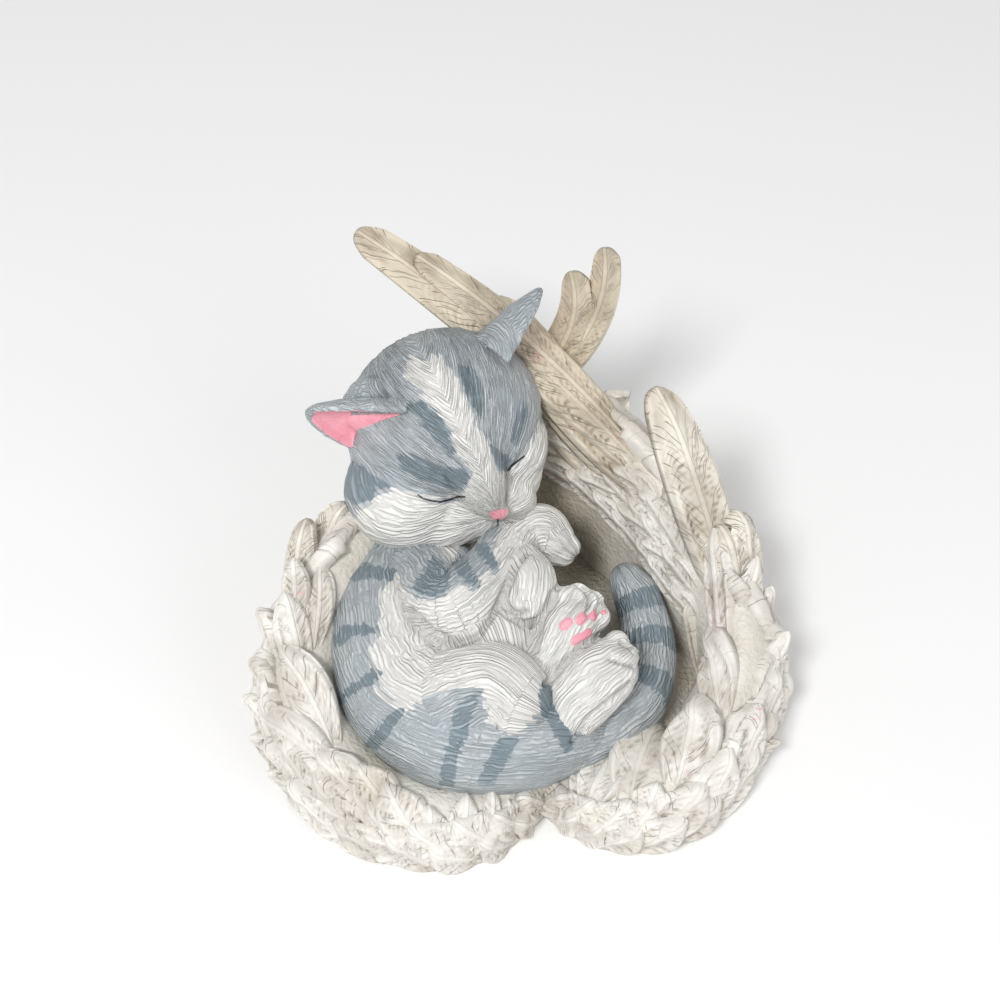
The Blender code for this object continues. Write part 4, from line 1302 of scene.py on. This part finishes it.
def resin_paint(name, base, wash_and_shade_colour, warm, pitch, depth, grain, age):
    """
    The nest's off-white paint: darker paint in the cuts, painted shade at the feathers' roots and in their dishes,
    warm blotches, and pink specks where the piece is blushed.
    Pitch is the spacing of the fine cuts, depth how dark they are, grain how rough, and age how warm the back is.
    """
    paint, tree, shader = new_paint(name)
    place = put(tree, "TexCoord").outputs["Object"]
    barbs = place_group(tree, cuts, {"Barb": attribute(tree, "barb", "Vector"), "Pitch": pitch})
    # The groove attribute holds the wash in the cuts with painted shade at the feathers' roots and in their dishes.
    groove = maths(tree, "MAXIMUM", attribute(tree, "groove"), maths(tree, "MULTIPLY", barbs["Groove"], depth))
    marks = place_group(tree, aged_and_shaded, {"Place": place, "Groove": groove})
    back = put(tree, "SeparateXYZ", {0: place}).outputs["Y"]
    coat = mixed(tree, step_up(tree, back, 0.02, 0.05, 0.0, age), base, warm)
    coat = mixed(tree, maths(tree, "MULTIPLY", marks["Blotch"], 0.45), coat, warm)
    coat = mixed(tree, marks["Wash And Shade"], coat, wash_and_shade_colour)
    speck = maths(tree, "MULTIPLY", marks["Speck"], step_up(tree, attribute(tree, "blush"), 0.0, 0.4))
    height = maths(tree, "MULTIPLY_ADD", marks["Grain"], grain, barbs["Height"])
    link_all(tree, shader, {
        "Base Color": mixed(tree, speck, coat, SPECK),
        "Roughness": step_up(tree, marks["Grain"], 0.3, 0.7, 0.38, 0.55),
        "Normal": put(tree, "Bump", {"Height": height, "Distance": RESIN_RELIEF, "Strength": 1.0}).outputs[0],
    })
    return paint


feather_paint = resin_paint(
    "feather paint", linear(240, 237, 231), linear(164, 153, 137), linear(226, 216, 199), 1.5, 0.35, 0.4, 0.4
)
long_paint = resin_paint(
    "long feather paint", linear(237, 232, 221), linear(138, 121, 98), linear(219, 206, 182), 0.8, 0.9, 0.5, 0.8
)
bowl_paint = resin_paint(
    "bowl paint", linear(234, 230, 221), linear(172, 162, 146), linear(210, 198, 174), 1.5, 0.0, 1.8, 0.9
)
for piece, paint in (
    (kitten_body, fur_paint), (kitten_head, fur_paint), (nest_bowl, bowl_paint), (left_feathers, feather_paint),
    (right_feathers, feather_paint), (long_feathers, long_paint),
):
    piece.data.materials.append(paint)
    print(piece.name, "is finished with", paint.name)


# %% [markdown]
# ## Floor, light and hand-over
# The photograph is a soft studio picture: a large light high on the left and in front, a weaker one on the right that
# keeps the shadows open, and white all round. Area lights give such soft shadows. A single sun would cut them hard.

# %% floor and lights
floor_mesh = bmesh.new()
bmesh.ops.create_grid(floor_mesh, x_segments=1, y_segments=1, size=3000.0)
floor = to_piece(floor_mesh, "studio_floor")
floor_paint, tree, paper = new_paint("studio paper")
paper.inputs["Base Color"].default_value = (0.95, 0.95, 0.95, 1.0)
paper.inputs["Roughness"].default_value = 0.9
floor.data.materials.append(floor_paint)
floor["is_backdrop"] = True

studio = bpy.data.worlds.new("studio")
studio.use_nodes = True
studio.node_tree.nodes["Background"].inputs["Color"].default_value = (1.0, 1.0, 1.0, 1.0)
studio.node_tree.nodes["Background"].inputs["Strength"].default_value = 0.52
bpy.context.scene.world = studio
bpy.context.scene.view_settings.view_transform = "Standard"


def soft_light(name, place, size, power, target=(0.0, 10.0, 20.0)):
    """A square area light at a place in millimetres, aimed at the ornament."""
    lamp = bpy.data.lights.new(name, "AREA")
    lamp.size = size * MM
    lamp.energy = power
    light = bpy.data.objects.new(name, lamp)
    light.location = Vector(place) * MM
    light.rotation_euler = (Vector(target) - Vector(place)).to_track_quat("-Z", "Y").to_euler()
    bpy.context.scene.collection.objects.link(light)


soft_light("key light", (-300.0, -620.0, 880.0), 240.0, 7.2)
soft_light("fill light", (660.0, -560.0, 600.0), 600.0, 1.6)

# %% hand every piece over
kitten_pieces = [kitten_body, kitten_head]
nest_pieces = [nest_bowl, left_feathers, right_feathers, long_feathers]
for piece in kitten_pieces:
    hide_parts("kitten")
    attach(piece, "root")
for piece in nest_pieces:
    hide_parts("wing_nest")
    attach(piece, "root")
dressed_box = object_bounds()
for axis in range(3):
    solid, dressed = (box[1][axis] - box[0][axis] for box in (solid_box, dressed_box))
    print("XYZ"[axis], "solids", round(solid / MM, 1), "mm, dressed", round(dressed / MM, 1), "mm")
